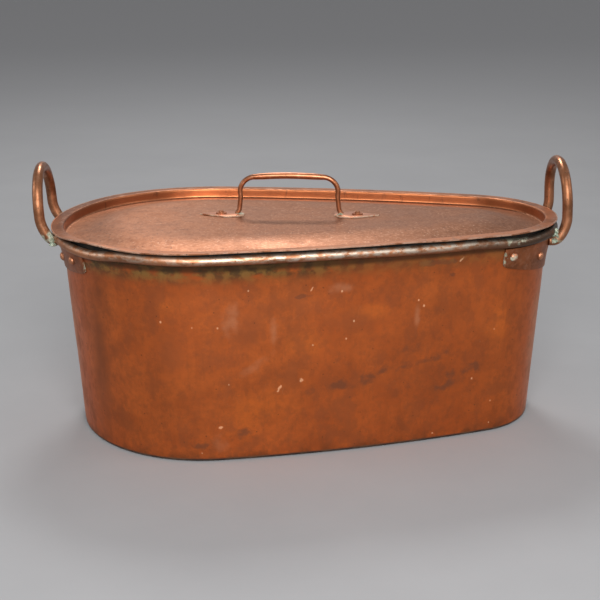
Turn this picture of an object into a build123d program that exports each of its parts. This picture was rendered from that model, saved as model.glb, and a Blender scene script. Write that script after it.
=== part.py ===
"""A copper fish kettle: oval body with a rolled rim, sunk lid with a bail, two end loops and a drainer.

Millimetres. The origin is on the ground under the middle of the kettle, +X runs along it towards the
narrower end, -Y is the side that faces the reader and +Z is up.
"""

import os
from math import asin, atan2, copysign, cos, degrees, hypot, radians, sin, sqrt, tan
from types import SimpleNamespace

from build123d import *

os.makedirs("parts", exist_ok=True)

# The rim seen from above: two round ends joined by two gently bowed sides, wider at the left end
rim_length = 563
wide_end_radius = 169
narrow_end_radius = 108
side_radius = 1406

# The rolled rim: its outer edge is the oval above, its centre line lies at rim_height
rim_height = 222
bead_diameter = 10
wire_diameter = 6.8
wire_clearance = 0.05

# The side sheet leans in towards the foot and flares out under the rim
sheet = 1.5
foot_inset = 23.7
flare_inset = 13.4
flare_height = 45
neck_inset = 6.5
neck_drop = 3.5

# The bottom sheet, with its rounded corner and low upturned edge
base_sheet = 1.8
base_rise = 12
base_corner = 7

# The end loops, of round rod. Each leg bends in twice, to a level foot that is tucked under the bead.
# Rises and drops are counted from rim_height, and a lean is how far the top stands outside the knee.
rod_diameter = 11.5
loop_width = 86
loop_corner = 42
loop_rise_left = 67.8
loop_rise_right = 68.8
loop_lean_left = 3
loop_lean_right = -3
stand_off_left = 12.8
stand_off_right = 11.9
foot_bend = 38
heel_bend = 9.5
foot_lean_degrees = 35
foot_lean_run = 18.5
foot_drop_left = 3.8
foot_drop_right = 11.2
foot_tuck = 2.4
foot_gap = 0.35

# The strips that carry the loops: level along the top, with a lower edge that climbs towards the ends
strip_thickness = 1.6
strip_gap = 0.1
strip_top_drop = 6
strip_blank_height = 48
strip_drop_left = 37.6
strip_drop_right = 47.2
strip_slant_degrees = 15
strip_corner = 7
strip_degrees_left = 40
strip_degrees_right = 71

# The round-headed rivets of the strips, by their angle from the long axis and their drop below the rim
rivet_shank = 4.5
rivet_head = 9.5
rivet_head_height = 3.2
rivet_burr = 8
rivet_burr_height = 1.2
rivet_clearance = 0.05
rivet_seat_gap = 0.12
rivet_degrees_left = (15.5, 30.5)
rivet_drops_left = (21.5, 15.3)
rivet_degrees_right = (36.7, 64.4)
rivet_drops_right = (23.6, 15.6)

# Cutters reach this far to each side of the sheets that they pierce or trim
cutter_reach = 60

# The lid: a flange that rests on the bead, a short wall and a sunk panel with a low crown
lid_sheet = 1.3
lid_overhang = 0.6
lid_shift = (-1, 1.4)
lid_tilt_degrees = 1.13
lid_seat_gap = 0.3
flange_width = 12.6
recess_depth = 11
recess_radius = 2
crown_rise = 9
crown_run = 66

# The bail on the lid, its leaf feet, rivets and washers
bail_centre = (-18, 9)
bail_turn_degrees = -5
bail_span = 109
bail_grip = 7.4
bail_leg = 5.6
bail_swell = 14
bail_rise = 43.5
bail_corner = 20
bail_foot_bend = 9
bail_foot_lean_degrees = 50
leaf_length = 47
leaf_width = 28
leaf_widest = 17.5
leaf_heel = 3.5
leaf_heel_width = 9
leaf_thickness = 2
leaf_rivet_offset = 22.5
rove_diameter = 12.4
rove_thickness = 1
lid_rivet_shank = 4
lid_rivet_rise = 3
lid_rivet_burr = 6
lid_rivet_head = 9
lid_rivet_head_height = 1.3

# The drainer that lies in the kettle
drainer_sheet = 2
drainer_gap = 5
drainer_height = 13
drainer_edge = 6
hole_diameter = 10
hole_pitch = 30
hole_margin = 16
drainer_foot = 11
drainer_foot_span = (270, 120)
drainer_seat_gap = 0.3
grip_rod = 6
grip_width = 80
grip_rise = 135
grip_corner = 22
grip_inset = 62
grip_pad = 14
pad_reach = 15
grip_pad_thickness = 2.5
grip_rivet_shank = 4
grip_rivet_head = 8
grip_rivet_head_height = 2.2
grip_rivet_burr_height = 1.2


# The plan is four arcs that run into each other. Each offset of it keeps the same four centres.
wide_x = -rim_length / 2 + wide_end_radius
narrow_x = rim_length / 2 - narrow_end_radius
wide_reach = side_radius - wide_end_radius
narrow_reach = side_radius - narrow_end_radius
side_x = (wide_x**2 - narrow_x**2 - wide_reach**2 + narrow_reach**2) / (2 * (wide_x - narrow_x))
side_y = sqrt(wide_reach**2 - (wide_x - side_x) ** 2)
wide_angle = degrees(atan2(side_y, wide_x - side_x))
narrow_angle = degrees(atan2(side_y, narrow_x - side_x))
half_width = wide_end_radius if wide_angle < 90 else side_radius - side_y
oval_arcs = (
    (Vector(narrow_x, 0), narrow_end_radius, -narrow_angle, 2 * narrow_angle),
    (Vector(side_x, -side_y), side_radius, narrow_angle, wide_angle - narrow_angle),
    (Vector(wide_x, 0), wide_end_radius, wide_angle, 360 - 2 * wide_angle),
    (Vector(side_x, side_y), side_radius, -wide_angle, wide_angle - narrow_angle),
)


def oval(offset_out):
    """Draw the rim's outline, moved out by offset_out, as four arcs in the current line."""
    for centre, radius, start, size in oval_arcs:
        CenterArc(centre, radius + offset_out, start, size)


def turn(profile, centre, radius, start, size):
    """Turn an upright profile about a centre: its x is the distance outside radius, its y the height."""
    out = Vector(1, 0, 0).rotate(Axis.Z, start)
    upright = Plane(centre + out * radius, x_dir=out, z_dir=out.rotate(Axis.Z, -90))
    with BuildSketch(upright) as section:
        add(profile)
    revolve(section.sketch, axis=Axis(centre, (0, 0, 1)), revolution_arc=size)


def carry_round(profile):
    """Carry an upright profile all the way round the oval."""
    for centre, radius, start, size in oval_arcs:
        turn(profile, centre, radius, start, size)


def write(piece, name, place=Location()):
    """Set a finished piece down in its place, label it and write it to its own file."""
    settled = piece.part.moved(place)
    settled.label = name
    export_step(settled, f"parts/{name}.step")


# The outer face of the side sheet: straight up from the foot, then one arc out to the neck of the bead
bead_radius = bead_diameter / 2
flare_start = (-flare_inset, rim_height - flare_height)
neck = (-neck_inset, rim_height - neck_drop)
lean = atan2(foot_inset - flare_inset, rim_height - flare_height)
flare_chord = (flare_inset - neck_inset, flare_height - neck_drop)
flare_turn = atan2(*flare_chord) - lean
flare_radius = hypot(*flare_chord) / (2 * sin(flare_turn))
flare_centre_inset = flare_inset - flare_radius * cos(lean)
flare_centre_height = rim_height - flare_height - flare_radius * sin(lean)


def side_face():
    """Draw the outer face of the side sheet in the current line."""
    foot = (-foot_inset + base_rise * tan(lean), base_rise)
    straight = Line(foot, flare_start)
    TangentArc(flare_start, neck, tangent=straight % 1)


def flare_at(height):
    """The inset of the flare's outer face at a height, and how far it leans out there, in radians."""
    leaning = asin((height - flare_centre_height) / flare_radius)
    return flare_centre_inset + flare_radius * cos(leaning), leaning


with BuildSketch() as wall_profile:
    with BuildLine():
        side_face()
        offset(amount=sheet, side=Side.LEFT)
    make_face()
    with Locations((-bead_radius, rim_height)):
        Circle(bead_radius)
        Circle(wire_diameter / 2 + wire_clearance, mode=Mode.SUBTRACT)

with BuildSketch() as wire_profile:
    with Locations((-bead_radius, rim_height)):
        Circle(wire_diameter / 2)

# The strip lies on the outer face of the side sheet, up to just under the bead
strip_top = rim_height - strip_top_drop
strip_stand = strip_gap + strip_thickness
with BuildSketch() as strip_profile:
    with BuildLine():
        side_face()
        offset(amount=strip_stand, side=Side.RIGHT)
    make_face()
    with BuildLine():
        side_face()
        offset(amount=strip_gap, side=Side.RIGHT)
    make_face(mode=Mode.SUBTRACT)
    with Locations((-flare_inset, strip_top)):
        below_top = (Align.CENTER, Align.MAX)
        Rectangle(2 * cutter_reach, strip_blank_height, align=below_top, mode=Mode.INTERSECT)

# Everything inside the outer face of the strip, and the bead with a small gap round it: they trim the
# feet of the loops
with BuildSketch() as trim_profile:
    with BuildLine():
        side_face()
        offset(amount=cutter_reach, side=Side.LEFT)
    make_face()
    with BuildLine():
        side_face()
        offset(amount=strip_stand, side=Side.RIGHT)
    make_face()
    with Locations((-bead_radius, rim_height)):
        Circle(bead_radius + foot_gap)


def round_rivet(shank, grip, head, head_height, burr, burr_height, seat_gap):
    """A rivet along Z: its domed head above Z = 0 and its hammered end below the grip."""
    with BuildPart() as rivet:
        with BuildSketch(Plane.XZ):
            with BuildLine():
                top = (0, seat_gap + head_height)
                Polyline(
                    top,
                    (0, -grip - seat_gap - burr_height),
                    (burr / 2, -grip - seat_gap - burr_height),
                    (burr / 2, -grip - seat_gap),
                    (shank / 2, -grip - seat_gap),
                    (shank / 2, seat_gap),
                    (head / 2, seat_gap),
                )
                TangentArc(top, (head / 2, seat_gap), tangent=(1, 0))
            make_face()
        revolve(axis=Axis.Z)
    return rivet.part


def strip_rivet_places(end):
    """Where the rivets of an end's strip stand, on its outer face and square to it."""
    places = []
    for angle, drop in end.rivets:
        inset, leaning = flare_at(rim_height - drop)
        for side_angle in (end.facing - angle, end.facing + angle):
            out = Vector(1, 0, 0).rotate(Axis.Z, side_angle)
            square = out * cos(leaning) - Vector(0, 0, sin(leaning))
            foot = end.centre + out * (end.radius - inset) + Vector(0, 0, rim_height - drop)
            places.append(Location(Plane(foot + square * strip_stand, z_dir=square)))
    return places


# Each end: its round centre, which way it faces, and the sizes measured on that end
half_turn_degrees = 180
ends = {
    "left": SimpleNamespace(
        centre=Vector(wide_x, 0),
        radius=wide_end_radius,
        facing=half_turn_degrees,
        outward=-1,
        loop_rise=loop_rise_left,
        loop_lean=loop_lean_left,
        stand_off=stand_off_left,
        foot_drop=foot_drop_left,
        strip_drop=strip_drop_left,
        strip_angle=strip_degrees_left,
        rivets=list(zip(rivet_degrees_left, rivet_drops_left)),
    ),
    "right": SimpleNamespace(
        centre=Vector(narrow_x, 0),
        radius=narrow_end_radius,
        facing=0,
        outward=1,
        loop_rise=loop_rise_right,
        loop_lean=loop_lean_right,
        stand_off=stand_off_right,
        foot_drop=foot_drop_right,
        strip_drop=strip_drop_right,
        strip_angle=strip_degrees_right,
        rivets=list(zip(rivet_degrees_right, rivet_drops_right)),
    ),
}
rivet_grip = strip_stand + sheet
rivet_places = {side: strip_rivet_places(end) for side, end in ends.items()}

# The side sheet with its flare, rolled rim and rivet holes
with BuildPart() as body_wall:
    carry_round(wall_profile.sketch)
    with Locations(*rivet_places["left"], *rivet_places["right"]):
        Cylinder(rivet_shank / 2 + rivet_clearance, 4 * rivet_grip, mode=Mode.SUBTRACT)
write(body_wall, "body_wall")

# The iron wire in the rim
with BuildPart() as rim_wire:
    carry_round(wire_profile.sketch)
write(rim_wire, "rim_wire")

# The bottom, a shallow tray with a rounded corner that meets the side sheet edge to edge
base_flat_inset = foot_inset + 2 * base_corner
with BuildSketch() as base_profile:
    with BuildLine():
        FilletPolyline(
            (-foot_inset + base_rise * tan(lean), base_rise),
            (-foot_inset, 0),
            (-base_flat_inset, 0),
            radius=base_corner,
        )
        offset(amount=base_sheet, side=Side.RIGHT)
    make_face()
with BuildPart() as base_plate:
    carry_round(base_profile.sketch)
    with BuildSketch():
        with BuildLine():
            oval(-base_flat_inset)
        make_face()
    extrude(amount=base_sheet)
write(base_plate, "base_plate")

# The strips, the rivets and the loops of both ends
strip_rivet = round_rivet(
    rivet_shank, rivet_grip, rivet_head, rivet_head_height, rivet_burr, rivet_burr_height, rivet_seat_gap
)
slant = radians(strip_slant_degrees)
foot_lean = radians(foot_lean_degrees)
half_loop = loop_width / 2
for side, end in ends.items():
    out = end.outward
    strip_run = (end.centre, end.radius, end.facing - end.strip_angle, 2 * end.strip_angle)
    lowest = (out * rim_length / 2, 0, rim_height - end.strip_drop)
    with BuildPart() as handle_plate:
        turn(strip_profile.sketch, *strip_run)
        split(bisect_by=Plane(lowest, z_dir=(out * sin(slant), 0, cos(slant))))
        lower_face = handle_plate.faces().sort_by(Axis.Z)[0]
        fillet(lower_face.edges().filter_by(GeomType.LINE), strip_corner)
        with Locations(*rivet_places[side]):
            Cylinder(rivet_shank / 2 + rivet_clearance, 4 * rivet_grip, mode=Mode.SUBTRACT)
    write(handle_plate, f"handle_plate_{side}")

    with BuildPart() as handle_rivets:
        with Locations(*rivet_places[side]):
            add(strip_rivet)
    write(handle_rivets, f"handle_rivets_{side}")

    # One leg from its foot up: heel, knee and the top, where it meets the other leg in one round arch
    foot_z = rim_height - end.foot_drop
    bead_x = end.centre.X + out * sqrt((end.radius - bead_radius) ** 2 - half_loop**2)
    knee_x = end.centre.X + out * (sqrt(end.radius**2 - half_loop**2) + end.stand_off)
    leg = (
        (bead_x - out * foot_tuck, foot_z),
        (knee_x - out * foot_lean_run * sin(foot_lean), foot_z),
        (knee_x, foot_z + foot_lean_run * cos(foot_lean)),
        (knee_x + out * end.loop_lean, rim_height + end.loop_rise),
    )
    with BuildPart() as foot_trim:
        turn(trim_profile.sketch, *strip_run)
    with BuildPart() as handle:
        with BuildLine() as rod_line:
            FilletPolyline(
                *[(x, -half_loop, z) for x, z in leg],
                *[(x, half_loop, z) for x, z in reversed(leg)],
                radius=[heel_bend, foot_bend, loop_corner, loop_corner, foot_bend, heel_bend],
            )
        with BuildSketch(Plane(rod_line.line @ 0, z_dir=rod_line.line % 0)):
            Circle(rod_diameter / 2)
        sweep()
        add(foot_trim.part, mode=Mode.SUBTRACT)
    write(handle, f"handle_{side}")

# The lid is drawn level, with Z = 0 on top of its flange, and set down on the bead with its front a
# little high: the sheet is no longer flat, and only its back edge touches the rim
lid_centre = Vector(lid_shift[0], lid_shift[1])
tilt_rise = tan(radians(lid_tilt_degrees))
lid_top = rim_height + bead_radius + lid_seat_gap + lid_sheet
lid_top += tilt_rise * (half_width - bead_radius - lid_centre.Y)
lid_place = Location((lid_centre.X, lid_centre.Y, lid_top), (-lid_tilt_degrees, 0, 0))

# The upper face of the lid: flange, wall down into the mouth, then a soft rise to the flat crown
panel_edge = lid_overhang - flange_width - lid_sheet
crown_edge = panel_edge - recess_radius - crown_run
with BuildSketch() as lid_profile:
    with BuildLine():
        step = FilletPolyline(
            (lid_overhang, 0),
            (panel_edge, 0),
            (panel_edge, -recess_depth),
            (panel_edge - 2 * recess_radius, -recess_depth),
            radius=recess_radius,
        )
        halfway = (step @ 1 + Vector(crown_edge, crown_rise - recess_depth)) / 2
        lower = TangentArc(step @ 1, halfway, tangent=(-1, 0))
        TangentArc(halfway, (crown_edge, crown_rise - recess_depth), tangent=lower % 1)
        offset(amount=lid_sheet, side=Side.LEFT)
    make_face()

# The bail with its leaf feet, rivets and washers is drawn about its own middle, with Z = 0 on the crown
crown_top = crown_rise - recess_depth
bail_place = Location((*bail_centre, crown_top), (0, 0, bail_turn_degrees))
rivet_x = bail_span / 2 + leaf_rivet_offset
lid_rivet_spots = Locations((-rivet_x, 0), (rivet_x, 0)).locations
lid_rivet_hole = lid_rivet_shank / 2 + rivet_clearance

with BuildPart() as lid_pan:
    carry_round(lid_profile.sketch)
    with BuildSketch(Plane.XY.offset(crown_top - lid_sheet)):
        with BuildLine():
            oval(crown_edge)
        make_face()
    extrude(amount=lid_sheet)
    with Locations(bail_place):
        with Locations(*lid_rivet_spots):
            Cylinder(lid_rivet_hole, cutter_reach, mode=Mode.SUBTRACT)
write(lid_pan, "lid_pan", lid_place)

# A leaf: a narrow heel under the leg, its widest place a third of the way out, then straight to a point
with BuildPart() as leaf:
    with BuildSketch():
        with BuildLine():
            for edge in (-1, 1):
                heel = (-leaf_heel, edge * leaf_heel_width / 2)
                widest = (leaf_widest, edge * leaf_width / 2)
                Line((-leaf_heel, 0), heel)
                TangentArc(widest, heel, tangent=(-1, 0))
                Line(widest, (leaf_length, 0))
        make_face()
    extrude(amount=leaf_thickness)
    with Locations((leaf_rivet_offset, 0)):
        Cylinder(lid_rivet_hole, cutter_reach, mode=Mode.SUBTRACT)

for side, facing in (("left", 180), ("right", 0)):
    with BuildPart() as lid_foot:
        with PolarLocations(bail_span / 2, 1, start_angle=facing):
            add(leaf.part)
    write(lid_foot, f"lid_foot_{side}", lid_place * bail_place)

with BuildPart() as lid_roves:
    with BuildSketch(Plane.XY.offset(leaf_thickness)):
        with Locations(*lid_rivet_spots):
            Circle(rove_diameter / 2)
            Circle(lid_rivet_hole, mode=Mode.SUBTRACT)
    extrude(amount=rove_thickness)
write(lid_roves, "lid_roves", lid_place * bail_place)

lid_rivet_grip = lid_sheet + leaf_thickness + rove_thickness
lid_rivet = round_rivet(
    lid_rivet_shank,
    lid_rivet_grip,
    lid_rivet_burr,
    lid_rivet_rise,
    lid_rivet_head,
    lid_rivet_head_height,
    0,
)
with BuildPart(Plane.XY.offset(leaf_thickness + rove_thickness)) as lid_rivets:
    with Locations(*lid_rivet_spots):
        add(lid_rivet)
write(lid_rivets, "lid_rivets", lid_place * bail_place)

# One half of the bail: from a foot that leans out over its leaf, up the leg and round into the grip,
# which swells from the leg's thickness to its own. The other half is its mirror image.
bail_top = leaf_thickness + bail_rise
half_span = bail_span / 2
lean_out = radians(bail_foot_lean_degrees)
foot_bottom = leaf_thickness - bail_leg / 2
foot_point = (
    -half_span - bail_foot_bend * (1 - cos(lean_out)),
    foot_bottom,
)
leg_bottom = (-half_span, foot_bottom + bail_foot_bend * sin(lean_out))
leg_top = (-half_span, bail_top - bail_corner)
grip_end = (-half_span + bail_corner, bail_top)
with BuildPart() as lid_handle:
    with BuildLine(Plane.XZ) as leg_line:
        TangentArc(leg_bottom, foot_point, tangent=(0, -1))
        Line(leg_bottom, leg_top)
        TangentArc(leg_top, grip_end, tangent=(0, 1))
    with BuildSketch(Plane(leg_line.line @ 0, z_dir=leg_line.line % 0)):
        Circle(bail_leg / 2)
    sweep()
    with BuildSketch(Plane.XZ):
        with BuildLine():
            swell_end = (grip_end[0] + bail_swell, bail_top + bail_grip / 2)
            Polyline(
                (grip_end[0], bail_top + bail_leg / 2),
                grip_end,
                (0, bail_top),
                (0, bail_top + bail_grip / 2),
                swell_end,
            )
            Spline(swell_end, (grip_end[0], bail_top + bail_leg / 2), tangents=((-1, 0), (-1, 0)))
        make_face()
    revolve(axis=Axis((0, 0, bail_top), (1, 0, 0)))
    split(bisect_by=Plane.XY.offset(leaf_thickness))
    mirror(about=Plane.YZ)
write(lid_handle, "lid_handle", lid_place * bail_place)

# The drainer: a flat pierced sheet with a low turned-up edge that clears the side all round
drainer_inset = foot_inset + sheet + drainer_gap
drainer_top = drainer_height + drainer_sheet
grip_rivet_hole = grip_rivet_shank / 2 + rivet_clearance
grip_x = rim_length / 2 - drainer_inset - grip_inset
leg_spots = [(x, y) for x in (-grip_x, grip_x) for y in (-grip_width / 2, grip_width / 2)]
pad_spots = [(x + copysign(pad_reach, x), y) for x, y in leg_spots]
foot_spots = list(GridLocations(*drainer_foot_span, 2, 2))
keep_clear = [Vector(*spot) for spot in leg_spots + pad_spots] + [spot.position for spot in foot_spots]

with BuildSketch() as hole_field:
    with BuildLine():
        oval(-drainer_inset - hole_margin)
    make_face()
columns = 2 * int(rim_length / 2 / hole_pitch) + 1
rows = 2 * int(half_width / hole_pitch) + 1
hole_spots = []
for spot in GridLocations(hole_pitch, hole_pitch, columns, rows):
    clear = all((spot.position - other).length > hole_diameter / 2 + grip_pad for other in keep_clear)
    if clear and hole_field.face().is_inside(spot.position):
        hole_spots.append(spot)

with BuildPart() as drainer_plate:
    with BuildSketch(Plane.XY.offset(drainer_height)):
        with BuildLine():
            oval(-drainer_inset)
        make_face()
    extrude(amount=drainer_sheet)
    with BuildSketch(Plane.XY.offset(drainer_top)):
        with BuildLine():
            oval(-drainer_inset)
        make_face()
        with BuildLine():
            oval(-drainer_inset - drainer_sheet)
        make_face(mode=Mode.SUBTRACT)
    extrude(amount=drainer_edge)
    fillet(drainer_plate.faces().sort_by(Axis.Z)[0].edges(), drainer_sheet / 2)
    with BuildSketch(Plane.XY.offset(drainer_height)):
        with Locations(*hole_spots):
            Circle(hole_diameter / 2)
        with Locations(*pad_spots, *foot_spots):
            Circle(grip_rivet_hole)
    extrude(amount=drainer_sheet, mode=Mode.SUBTRACT)
write(drainer_plate, "drainer_plate")

# The upright loops of the drainer, of wire flattened at its ends into pads that are riveted down
for side, sign in (("left", -1), ("right", 1)):
    grip_top = drainer_top + grip_rise
    with BuildPart() as drainer_handle:
        with BuildLine() as wire_line:
            FilletPolyline(
                (sign * grip_x, -grip_width / 2, drainer_top),
                (sign * grip_x, -grip_width / 2, grip_top),
                (sign * grip_x, grip_width / 2, grip_top),
                (sign * grip_x, grip_width / 2, drainer_top),
                radius=grip_corner,
            )
        with BuildSketch(Plane(wire_line.line @ 0, z_dir=wire_line.line % 0)):
            Circle(grip_rod / 2)
        sweep()
        with BuildSketch(Plane.XY.offset(drainer_top)):
            for spot_y in (-grip_width / 2, grip_width / 2):
                with Locations((sign * (grip_x + pad_reach / 2), spot_y)):
                    SlotCenterToCenter(pad_reach, grip_pad)
        extrude(amount=grip_pad_thickness)
        with Locations(*[(x, y) for x, y in pad_spots if x * sign > 0]):
            Cylinder(grip_rivet_hole, cutter_reach, mode=Mode.SUBTRACT)
    write(drainer_handle, f"drainer_handle_{side}")

pad_rivet = round_rivet(
    grip_rivet_shank,
    grip_pad_thickness + drainer_sheet,
    grip_rivet_head,
    grip_rivet_head_height,
    grip_rivet_head,
    grip_rivet_burr_height,
    0,
)
with BuildPart(Plane.XY.offset(drainer_top + grip_pad_thickness)) as drainer_rivets:
    with Locations(*pad_spots):
        add(pad_rivet)
write(drainer_rivets, "drainer_rivets")

# The feet of the drainer: studs riveted through the sheet, standing a hair clear of the bottom
foot_height = drainer_height - base_sheet - drainer_seat_gap
foot_stud = round_rivet(
    grip_rivet_shank,
    drainer_sheet,
    grip_rivet_head,
    grip_rivet_head_height,
    drainer_foot,
    foot_height,
    0,
)
with BuildPart(Plane.XY.offset(drainer_top)) as drainer_feet:
    with Locations(*foot_spots):
        add(foot_stud)
write(drainer_feet, "drainer_feet")
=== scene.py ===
# %% [markdown]
# # A copper fish kettle
# A kettle of this kind is a long boiling pan of sheet copper, with a loose lid and a pierced drainer inside.
# The frame brings its pieces in metres, each at its real place. This lesson keeps those places and works
# on what the eye sees: beaten sheet that isn't quite true, a brown patina, worn tin and a little verdigris.

from math import asin, atan2, ceil, copysign, cos, hypot, pi, radians, sin, sqrt, tan

import bmesh
import bpy
from mathutils import Matrix, Quaternion, Vector, noise


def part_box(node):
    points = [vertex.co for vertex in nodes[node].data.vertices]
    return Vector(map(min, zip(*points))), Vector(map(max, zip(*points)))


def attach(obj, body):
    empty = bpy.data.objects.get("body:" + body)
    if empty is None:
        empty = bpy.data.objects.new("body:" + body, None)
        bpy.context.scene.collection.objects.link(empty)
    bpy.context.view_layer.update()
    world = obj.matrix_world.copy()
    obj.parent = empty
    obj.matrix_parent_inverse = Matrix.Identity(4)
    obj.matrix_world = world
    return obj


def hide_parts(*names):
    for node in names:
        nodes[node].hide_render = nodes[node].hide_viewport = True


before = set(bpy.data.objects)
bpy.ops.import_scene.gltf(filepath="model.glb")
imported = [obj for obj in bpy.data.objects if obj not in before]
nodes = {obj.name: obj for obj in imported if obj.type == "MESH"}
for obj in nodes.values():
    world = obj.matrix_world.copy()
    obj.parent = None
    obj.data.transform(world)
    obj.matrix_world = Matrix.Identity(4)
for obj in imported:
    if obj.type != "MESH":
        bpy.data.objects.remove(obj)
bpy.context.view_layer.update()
MM = 0.001

# %% [markdown]
# ## Camera
# The camera's place was found by fitting the kettle's outline to the photograph, so it is written as plain
# measures. A long lens from well back keeps the far end of the kettle nearly as large as the near end.

# %% Place the camera
eye = Vector((-53.3, -1310.35, 556.44)) * MM
aim = Vector((-7.47, 1.78, 131.8)) * MM
camera_roll = radians(-0.22)
sensor_width = 36
focal_in_widths = 2.0032


def put(name, data):
    """Put an object with this data in the scene."""
    made = bpy.data.objects.new(name, data)
    bpy.context.scene.collection.objects.link(made)
    return made


camera = put("camera", bpy.data.cameras.new("camera"))
camera.data.sensor_width = sensor_width
camera.data.lens = sensor_width * focal_in_widths
camera.location = eye
turned = (aim - eye).to_track_quat("-Z", "Y") @ Quaternion((0, 0, 1), camera_roll)
camera.rotation_euler = turned.to_euler()
bpy.context.scene.camera = camera
bpy.context.scene.view_settings.view_transform = "Standard"
print("camera:", round((aim - eye).length, 3), "m from the kettle")

# %% [markdown]
# ## Light
# Copper shows what stands around it, so the lamps are large and soft, as in a studio: a strong one in front,
# a weak one at each side, and a smaller one high behind, which throws the bail's shadow towards the reader.
# The world fills the rest with an even pale grey.

# %% Hang the lamps
def lamp(name, place, size, power):
    """Hang a soft square lamp that faces the kettle."""
    light = bpy.data.lights.new(name, "AREA")
    light.shape = "SQUARE"
    light.size = size
    light.energy = power
    made = put(name, light)
    made.location = place
    made.rotation_euler = (aim - Vector(place)).to_track_quat("-Z", "Y").to_euler()


lamp("front_lamp", (0.0, -1.95, 1.2), 1.3, 64)
lamp("right_lamp", (1.9, -0.5, 1.1), 0.9, 9)
lamp("left_lamp", (-1.9, -0.2, 1.0), 0.9, 8)
lamp("back_lamp", (-0.10, 1.35, 2.0), 0.55, 27)

world = bpy.data.worlds.new("studio")
bpy.context.scene.world = world
world.use_nodes = True
sky = world.node_tree.nodes["Background"]
sky.inputs["Color"].default_value = (0.80, 0.80, 0.81, 1)
sky.inputs["Strength"].default_value = 0.46
print("lamps:", len(bpy.data.lights))

# %% [markdown]
# ## Node helpers
# Every finish below is a tree of shader nodes. A few short helpers keep the trees readable: one adds a node
# and sets or links its inputs, one mixes two colours, and one turns a grey pattern into a soft mask. A new
# node goes into the tree that its inputs come from, so no tree has to be named.

# %% Define the node helpers
def fill(made, inputs):
    """Set or link a node's inputs."""
    for name, value in inputs.items():
        if isinstance(value, bpy.types.NodeSocket):
            made.id_data.links.new(value, made.inputs[name])
        else:
            made.inputs[name].default_value = value
    return made


def node(kind, inputs, **settings):
    """Add a shader node with its options and inputs to the tree that the inputs come from."""
    source = next(value for value in inputs.values() if isinstance(value, bpy.types.NodeSocket))
    made = source.id_data.nodes.new("ShaderNode" + kind)
    for name, value in settings.items():
        setattr(made, name, value)
    return fill(made, inputs)


MIX_MASK, MIX_FIRST, MIX_SECOND, MIX_RESULT = 0, 6, 7, 2


def mixed(mask, first, second):
    """Mix two colours by a mask. The Mix node has sockets of its own for colours, known by their numbers."""
    inputs = {MIX_MASK: mask, MIX_FIRST: first, MIX_SECOND: second}
    return node("Mix", inputs, data_type="RGBA").outputs[MIX_RESULT]


def maths(operation, first, second=0.0):
    """Work out one number from two."""
    return node("Math", {0: first, 1: second}, operation=operation).outputs[0]


def painted(colour, mask, share, paint):
    """Lay a paint over a colour where a mask shows, as strongly as the share says."""
    return mixed(maths("MULTIPLY", mask, share), colour, paint)


def ramp(value, low, high, at_low=0.0, at_high=1.0):
    """Turn a value into a soft mask: at_low up to low, at_high from high on."""
    inputs = {"Value": value, "From Min": low, "From Max": high, "To Min": at_low, "To Max": at_high}
    return node("MapRange", inputs, interpolation_type="SMOOTHSTEP").outputs[0]


def most(*masks):
    """The strongest of several masks."""
    strongest = masks[0]
    for mask in masks[1:]:
        strongest = maths("MAXIMUM", strongest, mask)
    return strongest


# %% [markdown]
# ## Shared effects
# An effect that several finishes need is a node group with named inputs and outputs, built once. A group
# only gives out masks and colours; the shader itself stays in each material.

# %% Start and place node groups
KINDS = {"vector": "NodeSocketVector", "float": "NodeSocketFloat", "colour": "NodeSocketColor"}


def start_group(name, inputs, output, kind="float"):
    """Start a node group. Inputs are a name, a type and a default; there is one output."""
    group = bpy.data.node_groups.new(name, "ShaderNodeTree")
    for label, socket_kind, default in inputs:
        socket = group.interface.new_socket(label, in_out="INPUT", socket_type=KINDS[socket_kind])
        socket.default_value = default
    group.interface.new_socket(output, in_out="OUTPUT", socket_type=KINDS[kind])
    return group, group.nodes.new("NodeGroupInput").outputs, group.nodes.new("NodeGroupOutput")


def use(group, inputs):
    """Place a group in a tree and give back its output."""
    return node("Group", inputs, node_tree=group).outputs[0]


# %% [markdown]
# Patina is never even. The blotches group is soft noise with a chosen size and a stretch in each direction;
# Low and High set how much of the surface it covers and how soft its edges are.

# %% Make the blotches group
def stretched(given):
    """The place that a group is given, stretched in each direction."""
    return node("VectorMath", {0: given["Place"], 1: given["Stretch"]}, operation="MULTIPLY").outputs[0]


blotches, given, result = start_group("blotches", [
    ("Place", "vector", (0, 0, 0)),
    ("Stretch", "vector", (1, 1, 1)),
    ("Per Metre", "float", 20),
    ("Low", "float", 0.4),
    ("High", "float", 0.6),
], "Mask")
cloud = node("TexNoise", {
    "Vector": stretched(given), "Scale": given["Per Metre"], "Detail": 5, "Roughness": 0.6})
fill(result, {"Mask": ramp(cloud.outputs["Fac"], given["Low"], given["High"])})

# %% [markdown]
# A hairline scratch is where a noise pattern crosses its own middle value: that line is thin, long and never
# straight. A second, coarser noise keeps the scratches to some places only.

# %% Make the scratches group
scratches, given, result = start_group("scratches", [
    ("Place", "vector", (0, 0, 0)),
    ("Stretch", "vector", (1, 1, 1)),
    ("Per Metre", "float", 60),
    ("Width", "float", 0.006),
    ("Shown From", "float", 0.55),
], "Mask")
field = node("TexNoise", {"Vector": stretched(given), "Scale": given["Per Metre"], "Detail": 1.0})
from_middle = maths("ABSOLUTE", maths("SUBTRACT", field.outputs["Fac"], 0.5))
line = ramp(from_middle, 0.0, given["Width"], 1.0, 0.0)
spread = node("TexNoise", {"Vector": given["Place"], "Scale": 35, "Detail": 2})
shown = ramp(spread.outputs["Fac"], given["Shown From"], 0.75)
fill(result, {"Mask": maths("MULTIPLY", line, shown)})

# %% [markdown]
# Specks and pits sit in the cells of a Voronoi pattern: each cell has one dot, and only some cells show it.

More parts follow.
